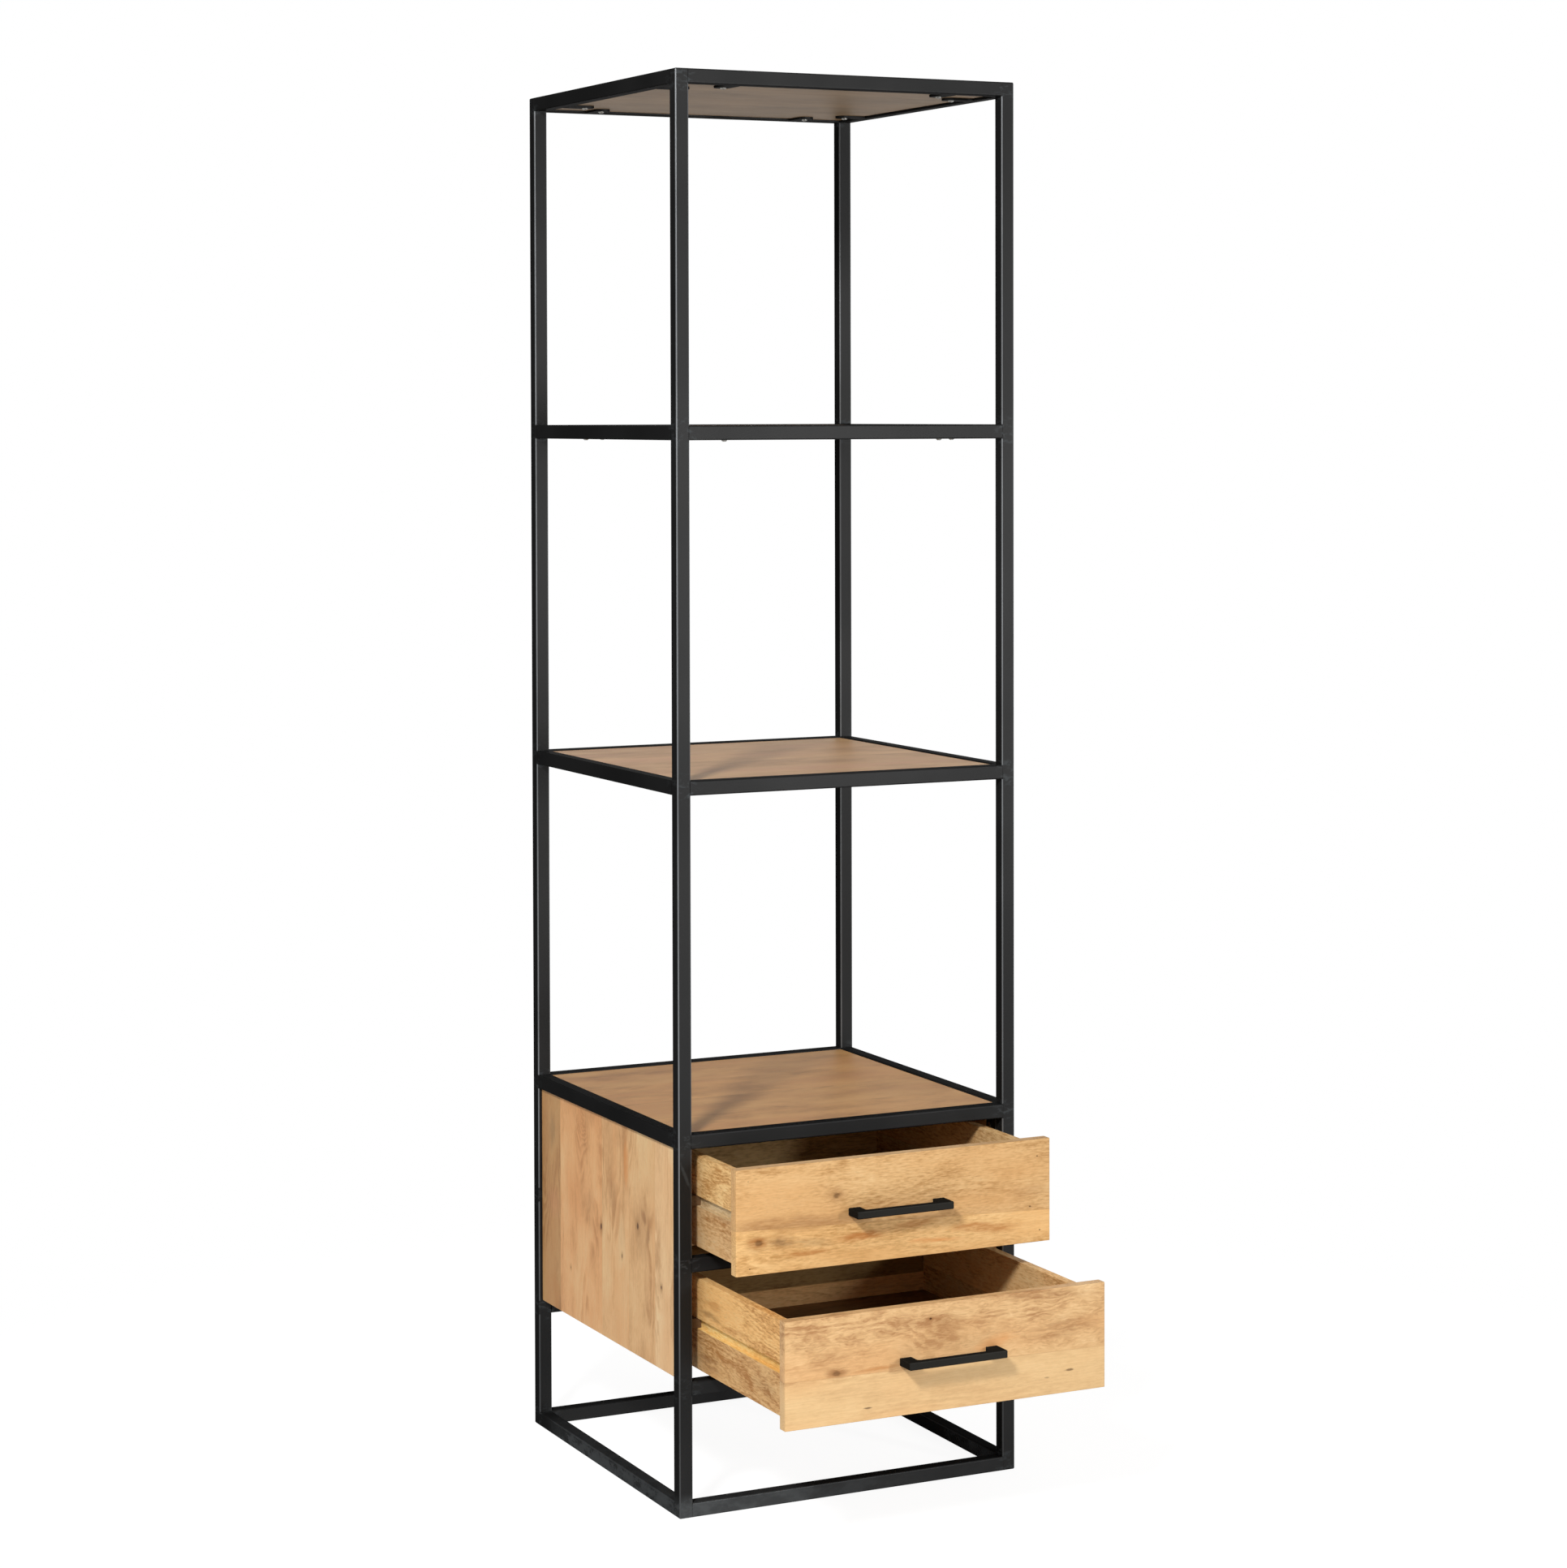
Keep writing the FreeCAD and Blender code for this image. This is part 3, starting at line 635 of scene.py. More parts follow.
@dataclass(frozen=True)
class PowderCoat:
    """Matt black powder coat on steel.

    Half of it is metallic, with a dark edge tint, so that it gleams a little where it
    faces a lamp and stays dark where it is seen edge-on.

    Attributes:
        name: the finish's name.
        colour: its colour.
        rough: its roughness.
    """

    name: str
    colour: tuple[int, int, int]
    rough: float

    def build(self) -> Material:
        """Build the material."""
        graph = Graph(bpy.data.materials.new(self.name))
        point = graph.point()
        cloud = graph.noise(point, (7.0, 7.0, 5.0))
        grit = graph.noise(point, (900.0, 900.0, 900.0), 2.0, 0.6)
        peel = graph.noise(point, (320.0, 320.0, 320.0), 1.0)
        colour = graph.clouded(self.colour, cloud, 0.8)
        colour = graph.blend(graph.ease(grit, 0.62, 0.8, 0.0, 0.25), colour, shade(58, 61, 62))
        colour, ground = self.marks(graph, point, cloud, colour)
        rough = graph.math("MULTIPLY_ADD", cloud, 0.12, self.rough - 0.06)
        rough = graph.math("MULTIPLY_ADD", ground, 0.08, rough)
        shader = {"Base Color": colour, "Roughness": rough, "Metallic": 0.5,
                  "Specular IOR Level": 0.0, "Specular Tint": (0.2, 0.2, 0.2, 1.0)}
        return graph.end(shader, [(peel, 0.00004), (grit, 0.00001), (ground, 0.00006)])

    def marks(self, graph: Graph, point: Socket, cloud: Socket,
              colour: Socket) -> tuple[Socket, Value]:
        """Give the colour with the marks of work and use, and where steel was ground: none."""
        return colour, 0.0


@dataclass(frozen=True)
class WeldedCoat(PowderCoat):
    """The coat of a welded frame: ground joints, painted edge highlights, painted light below.

    Attributes:
        levels: heights of the bars' middles, where they are welded to the posts.
        scars: more ground places: their middle and their reach.
        scrape: a slanting scrape on a post's face: its middle, half length, half width, tilt.
    """

    levels: tuple[float, ...]
    scars: tuple[tuple[tuple[float, float, float], float], ...]
    scrape: tuple[tuple[float, float], float, float, float]

    def marks(self, graph: Graph, point: Socket, cloud: Socket,
              colour: Socket) -> tuple[Socket, Value]:
        """Grind the welds and paint edge highlights and base light, each in a colour of its own."""
        across, back, height = graph.split(point)
        back = graph.math("SUBTRACT", back, MIDDLE_BACK)
        sides = [graph.math("ABSOLUTE", value) for value in (across, back)]
        away: Value = 1.0
        for level in self.levels:
            away = graph.math("MINIMUM", away, graph.gap(height, level))
        smear = graph.noise(point, (70.0, 70.0, 150.0), 3.0, 0.65, 0.6)
        ground = self.ground_welds(graph, point, sides, away, smear)
        scrape = self.scraped(graph, graph.join(across, height), sides[1], smear)
        ground = graph.math("MAXIMUM", ground, scrape)
        # painted highlight: a lighter colour on the posts' rounded edges
        edge_highlight = self.painted_edge_highlight(graph, sides, height, away)
        edge_highlight = graph.product(edge_highlight, graph.ease(cloud, 0.3, 0.6, 0.65, 1.0))
        # painted light: the base tubes lightened towards the floor, most at the front left
        painted_base_light = self.painted_base_light(graph, point, across, back, height)
        colour = graph.blend(graph.product(ground, 0.55), colour, shade(78, 82, 84))
        # the painted highlight's colour
        colour = graph.blend(edge_highlight, colour, shade(120, 122, 124))
        # the painted base light's colour
        return graph.blend(painted_base_light, colour, shade(78, 80, 81)), ground

    def ground_welds(self, graph: Graph, point: Socket, sides: list[Socket], away: Socket,
                     smear: Socket) -> Socket:
        """Patch the coat beside the welded joints and at the scars, where steel was ground.

        Args:
            graph: the tree.
            point: the place on the object.
            sides: its distances from the frame's middle, across and back.
            away: its height's distance from the nearest bar's middle.
            smear: the noise that breaks up the patches.

        Returns:
            How far it was ground, 0 to 1.
        """
        corner = graph.ease(graph.math("MINIMUM", *sides), 0.212, 0.232)
        near = graph.product(graph.ease(away, 0.024, 0.010), corner, 0.6)
        for middle, reach in self.scars:
            scar = graph.ease(graph.distance(point, middle), reach, reach * 0.4)
            near = graph.math("MAXIMUM", near, scar)
        return graph.product(near, graph.ease(smear, 0.5, 0.64))

    def scraped(self, graph: Graph, face: Socket, back: Socket, smear: Socket) -> Socket:
        """Draw the scrape on the frame's outermost faces, front and rear, with a rough edge."""
        span = graph.math("MULTIPLY_ADD", smear, 0.8, graph.span_from(face, *self.scrape))
        outermost = graph.math("GREATER_THAN", back, SPAN / 2 - 0.0005)
        return graph.product(graph.ease(span, 1.35, 0.7), outermost)

    def painted_edge_highlight(self, graph: Graph, sides: list[Socket], height: Socket,
                   away: Socket) -> Socket:
        """Paint a highlight on the posts' rounded edges, fainter towards the floor.

        A point's two distances from its post's axis add up to most on the rounding. Beside
        a bar only the frame's outer corner is left, because the weld fills the other edges.
        """
        gaps = [graph.gap(side, POST_AXIS) for side in sides]
        edge = graph.ease(graph.math("ADD", *gaps), 0.0172, 0.0177)
        post = graph.math("LESS_THAN", graph.math("MAXIMUM", *gaps), TUBE / 2 + 0.00005)
        outer = graph.math("GREATER_THAN", graph.math("MINIMUM", *sides), POST_AXIS)
        clear = graph.math("MAXIMUM", graph.math("GREATER_THAN", away, TUBE / 2 + 0.0003), outer)
        # the painted highlight is fainter below 0.45 m, down to 0.3 of its strength at 0.12 m
        return graph.product(edge, post, clear, graph.ease(height, 0.12, 0.45, 0.3, 1.0))

    def painted_base_light(self, graph: Graph, point: Socket, across: Socket, back: Socket,
             height: Socket) -> Socket:
        """Paint light on the base tubes, most of all at the front left, broken up by a smear."""
        smear = graph.noise(point, (34.0, 34.0, 60.0), 4.0, 0.6)
        return graph.product(
            graph.ease(height, 0.034, 0.012), graph.ease(across, 0.2, -0.24, 0.1, 1.0),
            graph.ease(back, 0.221, 0.151), graph.ease(smear, 0.35, 0.65, 0.55, 1.0))


@dataclass(frozen=True)
class ZincPlate:
    """Bright zinc plate on screws, a little clouded.

    Attributes:
        name: the finish's name.
        colour: its colour.
    """

    name: str
    colour: tuple[int, int, int]

    def build(self) -> Material:
        """Build the material."""
        graph = Graph(bpy.data.materials.new(self.name))
        cloud = graph.noise(graph.point(), (420.0, 420.0, 420.0), 3.0, 0.6)
        shader = {"Base Color": graph.clouded(self.colour, cloud, 0.6), "Metallic": 1.0,
                  "Roughness": graph.math("MULTIPLY_ADD", cloud, 0.25, 0.2)}
        return graph.end(shader, [(cloud, 0.00002)])


# ---------------- woods

EVEN = (1.0, 1.0, 1.0)  # the tint of a stave that keeps its tone

BOARD = Wood(
    "mango_board_upper_shelf", Grain.SIDEWAYS_LEVEL_FACE,
    ((220, 180, 132), (205, 162, 116), (174, 132, 92), (206, 156, 112)), 8.0,
    broad=(5.0, 11.0), bands=0.75, blotch=(13.0, 24.0), mottle=0.85, dash=0.3, lines=0.1,
    pore=0.1, seams=(0.02, 0.13, 0.25),
    tints=(EVEN, (0.96, 0.96, 0.96), (1.02, 1.02, 1.02), (0.95, 0.95, 0.96)))

PANEL = Wood(
    "mango_panel_right", Grain.UPWARDS,
    ((240, 202, 152), (226, 182, 134), (194, 146, 98), (230, 174, 122)), 17.0,
    broad=(5.5, 13.0), blotch=(17.0, 30.0), dash=0.4, seams=(0.0, 0.09, 0.2, 0.3),
    tints=(EVEN, (0.94, 0.93, 0.92), (1.03, 1.03, 1.02), (0.97, 0.95, 0.93), (1.0, 1.01, 1.02)),
    knots=(Knot(0.36, 0.12, 0.003, 0.7, 2.2), Knot(0.24, 0.05, 0.002, 0.7, 2.2)))

# each side is darker below its seam at the groove's middle
SIDE = Wood(
    "mango_side_upper_right", Grain.BACKWARDS,
    ((255, 226, 172), (247, 204, 144), (196, 142, 84), (240, 186, 122)), 35.0,
    broad=(4.0, 16.0), bands=0.7, blotch=(26.0, 60.0), mottle=0.6, dash=0.95, lines=0.2,
    curl=0.007, seams=(0.409,), tints=((0.85, 0.87, 0.9), EVEN), rough=0.55)

INSIDE = Wood(
    "mango_upper_back", Grain.SIDEWAYS_UPRIGHT_FACE,
    ((252, 218, 158), (234, 198, 138), (186, 150, 96), (222, 182, 118)), 13.0,
    dash=0.8, rough=0.6, shine=0.08)

GROOVE = Wood(
    "mango_raw_upper", Grain.BACKWARDS,
    ((252, 236, 202), (228, 202, 160), (160, 128, 88), (214, 184, 136)), 27.0,
    bands=1.5, dash=0.9, rough=0.7, shine=0.05)

WOODS = (
    BOARD, PANEL, SIDE, INSIDE, GROOVE,
    replace(BOARD, name="mango_board_cabinet_top", seed=3.0, shine=0.1,
            tones=((226, 177, 117), (209, 158, 101), (168, 119, 72), (202, 146, 94))),
    replace(BOARD, name="mango_board_middle_shelf", seed=5.0, shine=0.2,
            tones=(*BOARD.tones[:3], (206, 156, 118))),
    replace(BOARD, name="mango_board_top", seed=11.0,
            tones=((222, 182, 134), (207, 164, 118), (174, 132, 92), (206, 156, 112))),
    # painted shade: a darker copy of the board wood for the boards' lower faces
    replace(BOARD, name="mango_board_underside_painted_shade", seed=12.0, shine=0.1,
            tones=((155, 128, 95), (137, 112, 81), (110, 89, 62), (135, 106, 72))),
    replace(PANEL, name="mango_panel_left", seed=2.0, bands=0.75, blotch=(18.0, 32.0), mottle=0.6,
            tones=((255, 220, 166), (247, 198, 142), (210, 156, 104), (244, 186, 128)),
            lines=0.27, pore=0.1, curl=0.010, seams=(-0.0131, 0.0726, 0.1639, 0.3116),
            tints=((1.0, 1.09, 1.2), (0.92, 0.93, 0.93), (0.94, 0.93, 0.92), (0.95, 0.85, 0.79),
                   (0.66, 0.60, 0.52)),
            knots=(Knot(0.3275, 0.1669, 0.003, 0.95, 2.0, 0.5),
                   Knot(0.3528, 0.0429, 0.0046, 0.8, 1.3, 0.7),
                   Knot(0.288, -0.0334, 0.0022, 0.85, 1.5, 0.4),
                   Knot(0.302, 0.0955, 0.0017, 0.7, 1.8, 0.3),
                   Knot(0.248, 0.275, 0.0017, 0.6, 1.6, 0.3),
                   Knot(0.489, 0.214, 0.012, 0.0, 1.1, 6.0)),
            flames=(Flame(0.43, 0.082, 0.045, 0.011, Tone.ORANGE, 0.6, 0.0, 0.3),
                    Flame(0.3685, 0.0215, 0.017, 0.009, Tone.BROWN, 0.6, 35.0, 0.2),
                    Flame(0.348, 0.010, 0.022, 0.008, Tone.BROWN, 0.6, -8.0, 0.2),
                    Flame(0.346, 0.030, 0.055, 0.034, Tone.BROWN, 0.2, 0.0, 0.2),
                    Flame(0.375, 0.125, 0.045, 0.022, Tone.BROWN, 0.22, 20.0, 0.4),
                    Flame(0.34, 0.205, 0.04, 0.022, Tone.BROWN, 0.2, 0.0, 0.4),
                    Flame(0.32, 0.098, 0.05, 0.020, Tone.PALE, 0.6, 0.0, 0.2),
                    Flame(0.28, 0.26, 0.045, 0.010, Tone.AMBER, 0.3, 14.0, 0.8),
                    Flame(0.33, 0.335, 0.028, 0.030, Tone.PINK, 0.3, 0.0, 0.0),
                    Flame(0.43, 0.34, 0.035, 0.018, Tone.SMOKE, 0.35, 0.0, 0.4),
                    Flame(0.20, 0.33, 0.045, 0.018, Tone.AMBER, 0.35, 0.0, 0.3))),
    replace(PANEL, name="mango_panel_back", grain=Grain.UPWARDS_REAR, seed=23.0,
            tones=((236, 198, 150), (222, 178, 130), (190, 142, 96), (228, 170, 120)),
            seams=(-0.13, -0.04, 0.05, 0.14),
            tints=(EVEN, (0.93, 0.92, 0.91), (1.03, 1.02, 1.0), (0.96, 0.96, 0.95),
                   (1.0, 0.99, 0.98)),
            knots=(Knot(0.36, 0.02, 0.004), Knot(0.25, -0.17, 0.003))),
    Wood("mango_front_upper", Grain.SIDEWAYS_UPRIGHT_FACE,
         ((238, 200, 146), (225, 181, 125), (188, 141, 86), (226, 175, 116)), 4.0,
         dash=0.95, lines=0.22, pore=0.18, seams=(0.392,), seam_slope=-0.036,
         tints=((1.16, 1.17, 1.12), EVEN),
         knots=(Knot(-0.1985, 0.3826, 0.0058, 0.55, 1.4, 1.8),
                Knot(-0.168, 0.381, 0.0060, 0.3, 1.8, 1.4),
                Knot(-0.087, 0.433, 0.0050, 0.55, 1.4, 0.5),
                Knot(-0.2123, 0.4624, 0.0013, 0.8, 1.0, 0.0),
                Knot(0.2098, 0.4558, 0.0013, 0.8, 1.2, 0.0),
                Knot(0.1987, 0.3902, 0.0016, 0.8, 1.8, 0.0),
                Knot(0.2135, 0.3575, 0.0013, 0.8, 1.0, 0.0),
                Knot(-0.2103, 0.3504, 0.0013, 0.8, 1.0, 0.0)),
         flames=(Flame(-0.14, 0.402, 0.12, 0.016, Tone.BROWN, 0.46, -2.0, 0.4),
                 Flame(-0.145, 0.379, 0.06, 0.010, Tone.SMOKE, 0.4, -6.0, 0.7),
                 Flame(-0.2, 0.383, 0.018, 0.012, Tone.AMBER, 0.75, 0.0, 0.6),
                 Flame(-0.05, 0.3765, 0.045, 0.008, Tone.AMBER, 0.85, 2.0, 0.5),
                 Flame(0.03, 0.385, 0.055, 0.007, Tone.AMBER, 0.6, 4.0, 0.6),
                 Flame(0.13, 0.370, 0.075, 0.009, Tone.AMBER, 0.7, -5.0, 0.7),
                 Flame(-0.13, 0.363, 0.04, 0.005, Tone.AMBER, 0.7, 0.0, 0.7),
                 Flame(0.06, 0.360, 0.06, 0.005, Tone.ORANGE, 0.6, -3.0, 0.6),
                 Flame(0.19, 0.41, 0.05, 0.012, Tone.BROWN, 0.22, 5.0, 0.5))),
    Wood("mango_front_lower", Grain.SIDEWAYS_UPRIGHT_FACE,
         ((244, 208, 158), (226, 185, 134), (184, 137, 92), (232, 182, 128)), 7.0,
         broad=(5.0, 15.0), bands=0.5, blotch=(26.0, 48.0), mottle=0.8, dash=0.7, lines=0.26,
         pore=0.1, curl=0.014, curl_from=0.238, calm=0.3, seams=(0.2379,), seam_slope=-0.0144,
         tints=((1.08, 1.13, 1.14), (1.0, 0.98, 0.95)),
         knots=(Knot(-0.0255, 0.2985, 0.0019, 0.9, 1.4, 0.3),
                Knot(-0.158, 0.2450, 0.0045, 0.45, 1.6, 0.8),
                Knot(-0.010, 0.285, 0.010, 0.0, 1.5, 2.5),
                Knot(-0.1145, 0.1965, 0.0015, 0.7, 5.0, 0.0),
                Knot(0.1764, 0.2098, 0.0019, 0.65, 5.0, 0.0),
                Knot(0.1434, 0.2035, 0.0015, 0.4, 3.0, 0.0)),
         flames=(Flame(-0.17, 0.262, 0.045, 0.016, Tone.BROWN, 0.24, 10.0, 0.7),
                 Flame(-0.158, 0.2455, 0.022, 0.007, Tone.BROWN, 0.6, 0.0, 0.8),
                 Flame(-0.10, 0.2445, 0.045, 0.004, Tone.AMBER, 0.5, 2.0, 0.4),
                 Flame(0.065, 0.256, 0.045, 0.013, Tone.ORANGE, 0.45, 12.0, 0.3),
                 Flame(0.15, 0.309, 0.08, 0.009, Tone.BROWN, 0.45, -3.0, 0.7),
                 Flame(0.16, 0.266, 0.07, 0.018, Tone.BROWN, 0.42, 3.0, 0.7),
                 Flame(0.0, 0.29, 0.035, 0.016, Tone.BROWN, 0.22, 0.0, 0.6))),
    replace(SIDE, name="mango_side_upper_left", seed=31.0,
            tints=((0.88, 0.85, 0.87), (1.08, 1.07, 1.01)),
            flames=(Flame(-0.19, 0.432, 0.03, 0.010, Tone.AMBER, 0.4, 5.0, 0.9),
                    Flame(-0.16, 0.40, 0.05, 0.006, Tone.BROWN, 0.35, 0.0, 0.5))),
    replace(SIDE, name="mango_side_lower_left", seed=38.0, seams=(0.248,),
            tints=((0.86, 0.80, 0.75), (1.07, 0.99, 0.84)),
            flames=(Flame(-0.12, 0.266, 0.045, 0.008, Tone.BROWN, 0.55, 3.0, 0.7),
                    Flame(-0.20, 0.262, 0.05, 0.006, Tone.AMBER, 0.6, -2.0, 0.6),
                    Flame(-0.13, 0.281, 0.04, 0.008, Tone.AMBER, 0.45, 0.0, 0.6),
                    Flame(-0.12, 0.205, 0.05, 0.018, Tone.BROWN, 0.5, 0.0, 0.8),
                    Flame(-0.28, 0.215, 0.05, 0.016, Tone.SMOKE, 0.2, 0.0, 0.4))),
    replace(SIDE, name="mango_side_lower_right", seed=41.0, seams=(0.248,)),
    # painted shade: above the seam at 0.238 the back is darkened to 0.38, the upper drawer's shadow
    # on it
    replace(INSIDE, name="mango_lower_back", seed=14.0, bands=0.9, seams=(0.238,),
            tones=((252, 212, 154), (240, 194, 134), (190, 144, 92), (232, 176, 112)),
            tints=(EVEN, (0.38, 0.39, 0.34))),
    # painted shade: the drawer bottoms are much darker than the other drawer wood, for the shade
    # inside the drawers
    replace(INSIDE, name="mango_drawer_bottom_painted_shade", grain=Grain.SIDEWAYS_LEVEL_FACE, seed=15.0,
            tones=((168, 132, 90), (146, 112, 74), (106, 78, 48), (144, 104, 64)), bands=0.9),
    replace(INSIDE, name="dowel_beech", seed=16.0, dash=0.5,
            tones=((226, 188, 138), (210, 168, 118), (172, 130, 84), (208, 158, 108))),
    replace(GROOVE, name="mango_raw_lower", seed=29.0, bands=1.3,
            tones=((255, 242, 190), (255, 218, 142), (212, 158, 86), (246, 196, 114))),
    Wood("runner_hardwood", Grain.BACKWARDS,
         ((142, 110, 80), (114, 88, 62), (84, 62, 42), (116, 86, 58)), 19.0, rough=0.55),
)


class Palette:
    """Every finish of the bookcase, built once.

    Attributes:
        coat: the frame's powder coat.
        handle_coat: the handles' powder coat.
        zinc: the screws' plate.
        woods: every wood, by its name.
    """

    def __init__(self) -> None:
        """Build the finishes."""
        joints = tuple(low + TUBE / 2 for low in (*TubeFrame.RINGS.values(), *RAIL_LEVELS))
        scars = (((-0.246, -0.098, 0.006), 0.02), ((-0.235, -0.101, 0.33), 0.02),
                 ((-0.235, 0.39, 0.17), 0.03))
        scrape = ((-POST_AXIS, 0.447), 0.026, 0.0032, -68.0)
        self.coat = WeldedCoat("black_powder_coat", (46, 46, 46), 0.42, joints, scars,
                               scrape).build()
        self.handle_coat = PowderCoat("black_handle_coat", (46, 45, 42), 0.45).build()
        self.zinc = ZincPlate("zinc_plate", (158, 157, 152)).build()
        self.woods = {wood.name: wood.build() for wood in WOODS}


# ---------------- sub-assemblies


@dataclass
class TubeFrame:
    """The welded frame of square tube: posts, rings, rails, and the welds between them.

    Attributes:
        RINGS: the lower face of each ring's bars.
        RAILS: each rail's side, 0 for the front and 1 for the rear, and its lower face.
        corner: outer corner radius of the tube.
        sunk: how far a ground weld lies behind the tubes' faces.
        bite: how far a weld reaches into the post.
    """

    RINGS = {"base": 0.0, "cabinet_top": 0.481, "middle_shelf": 0.941, "upper_shelf": 1.401,
             "top": 1.861}
    RAILS = ((0, RAIL_LEVELS[1]), (0, RAIL_LEVELS[0]), (1, RAIL_LEVELS[0]))

    corner: float = 0.002
    sunk: float = 0.00002
    bite: float = 0.0003

    def build(self, coat: Material) -> None:
        """Coat the tubes and their caps, and fill the grooves beside every joint."""
        names = [f"{side}_{hand}_post" for side in ("front", "rear") for hand in ("left", "right")]
        names += [f"{ring}_{side}_bar" for ring in self.RINGS
                  for side in ("front", "rear", "left", "right")]
        names += ["post_end_caps", "front_middle_rail", "front_bottom_rail", "rear_bottom_rail"]
        for name in names:
            dress_node(name, coat)
        groups = {name: [(axis, side, hand, low) for side in (0, 1) for hand in (0, 1)
                         for axis in (0, 1)] for name, low in self.RINGS.items()}
        groups["rail"] = [(0, side, hand, low) for side, low in self.RAILS for hand in (0, 1)]
        for name, joints in groups.items():
            welds = Piece(f"{name}_welds", "frame", "black_frame")
            for joint in joints:
                welds.add(self.weld(*joint))
            welds.finish(coat)

    def weld(self, axis: int, side: int, hand: int, low: float) -> Array:
        """Shape the weld beside one end of a bar.

        Its section is the corner of a square outside the post's rounded corner: a straight
        face level with the tubes, the bar's end, and an arc. Its height follows the bar, and
        near the bar's upper and lower edges the face draws back on the bar's own rounding.

        Args:
            axis: 0 for a bar along X, 1 for one along Y.
            side: 0 for the low side of the frame across the bar, 1 for the high one.
            hand: 0 for the bar's low end, 1 for its high end.
            low: the bar's lower face.

        Returns:
            Rings of points from the bar's lower edge to its upper one.
        """
        radius = self.corner
        turn = np.linspace(0, np.pi / 2, 7)
        edge = radius * (1 - np.cos(turn))
        heights = np.concatenate([edge, TUBE - edge[::-1]])
        heights = np.clip(heights, self.sunk, TUBE - self.sunk)
        drawn = radius * (1 - np.sin(turn))
        face = np.concatenate([drawn, drawn[::-1]])[:, None] + self.sunk
        face = np.minimum(face, radius * 0.98)
        inner = radius + self.bite
        angle = np.arcsin((radius - face) / inner) * (1 - np.linspace(0, 1, 7))
        along = np.pad(radius - inner * np.cos(angle), ((0, 0), (1, 1)),
                       constant_values=-self.bite)
        depth = np.hstack([face, radius - inner * np.sin(angle), np.full_like(face, radius)])
        along = TUBE - along
        if hand:
            along = SPAN - along
        if side:
            depth = SPAN - depth
        rings = np.empty((*along.shape, 3))
        rings[..., axis], rings[..., 1 - axis] = along, depth
        rings[..., 2] = low + heights[:, None]
        return rings


@dataclass
class ShelfBoards:
    """The four shelf boards, with the tabs and screws that hold them from below.

    Attributes:
        TOPS: the top of the bars round each board.
        inset: from the frame's outside to a board's edge.
        drop: how far a board is set down from the tops of its bars.
        thick: a board's thickness.
        corner: rounding of its upright edges.
        tab_thick: a tab's thickness.
        tab_offset: from the frame's corner to the middle of a tab.
        screw_offset: from the frame's outside to a tab's screw.
        head_radius: radius of a screw's head.
        head_height: height of a screw's head.
        cross_width: half the width of an arm of the cross in it.
        cross_reach: how far an arm reaches.
        cross_depth: depth of the cross.
        shank: radius of a screw's shank.
        shank_length: length of a screw's shank.
    """

    TOPS = {"cabinet_top": 0.500, "middle_shelf": 0.960, "upper_shelf": 1.420, "top": 1.880}

    inset: float = 0.020
    drop: float = 0.0015
    thick: float = 0.0145
    corner: float = 0.0015
    tab_thick: float = 0.003
    tab_offset: float = 0.090
    screw_offset: float = 0.047
    head_radius: float = 0.004
    head_height: float = 0.0024
    cross_width: float = 0.00062
    cross_reach: float = 0.0024
    cross_depth: float = 0.0013
    shank: float = 0.00175
    shank_length: float = 0.011

    def build(self, palette: Palette) -> None:
        """Build the boards and the screws below them, heads down, and coat the tabs."""
        dress_node("board_tabs", palette.coat)
        low, high = self.inset, SPAN - self.inset
        outline = rounded_outline((low, low), (high, high), self.corner, 4)
        near = self.screw_offset, SPAN - self.screw_offset
        along = self.tab_offset, SPAN - self.tab_offset
        places = [(x, y) for x in along for y in near] + [(x, y) for x in near for y in along]
        screws = Piece("shelf_screws", "frame", "zinc_screw", ("board_screws",))
        for name, top in self.TOPS.items():
            face = top - self.drop
            under = face - self.thick
            board = Piece(f"{name}_shelf", "frame", "shelf_wood", (f"{name}_board",))
            board.add(carried(outline, 2, (under, face)))
            # the lower face gets the darker copy: painted shade
            board.line(palette.woods["mango_board_underside_painted_shade"], (0, 0, under - ROOM),
                       (SPAN, SPAN, under + ROOM))
            board.finish(palette.woods[f"mango_board_{name}"], easing=0.0009)
            for number, place in enumerate(places):
                seat = np.array([*place, under - self.tab_thick])
                screws.add(self.screw(0.7 * number + top) + seat)
        screws.finish(palette.zinc)

    def screw(self, turned: float) -> Array:
        """Turn a pan-head screw round the Z axis, head down, its seat at the origin.

        The head's face is a dome, height times (1 - (r / R)^2.4)^0.5. A cross is sunk in it:
        inside an arm's width and length the face is raised back towards the seat, and the
        sunk depth falls off smoothly at the arm's walls.

        Args:
            turned: angle of the cross.

        Returns:
            Rings of points from the middle of the head's face to the shank's tip.
        """
        share = np.array([0.0, 0.08, 0.16, 0.24, 0.34, 0.45, 0.56, 0.7, 0.83, 0.93, 0.985, 1.0])
        radii = np.append(share * self.head_radius, [self.head_radius, self.shank, self.shank, 0.0])
        levels = np.append(-self.head_height * np.sqrt(1 - share ** 2.4),
                           [0.0, 0.0, self.shank_length - 0.002, self.shank_length])
        angles = np.linspace(0, 2 * np.pi, 32, endpoint=False)
        x, y = radii[:, None] * np.cos(angles), radii[:, None] * np.sin(angles)
        thin, long = np.minimum(abs(x), abs(y)), np.maximum(abs(x), abs(y))
        wall = (np.clip((self.cross_width - thin) / 0.0003, 0, 1)
                * np.clip((self.cross_reach - long) / 0.0005, 0, 1))
        wall[len(share):] = 0
        cos, sin = math.cos(turned), math.sin(turned)
        height = levels[:, None] + self.cross_depth * wall
        return np.stack([x * cos - y * sin, x * sin + y * cos, height], -1)


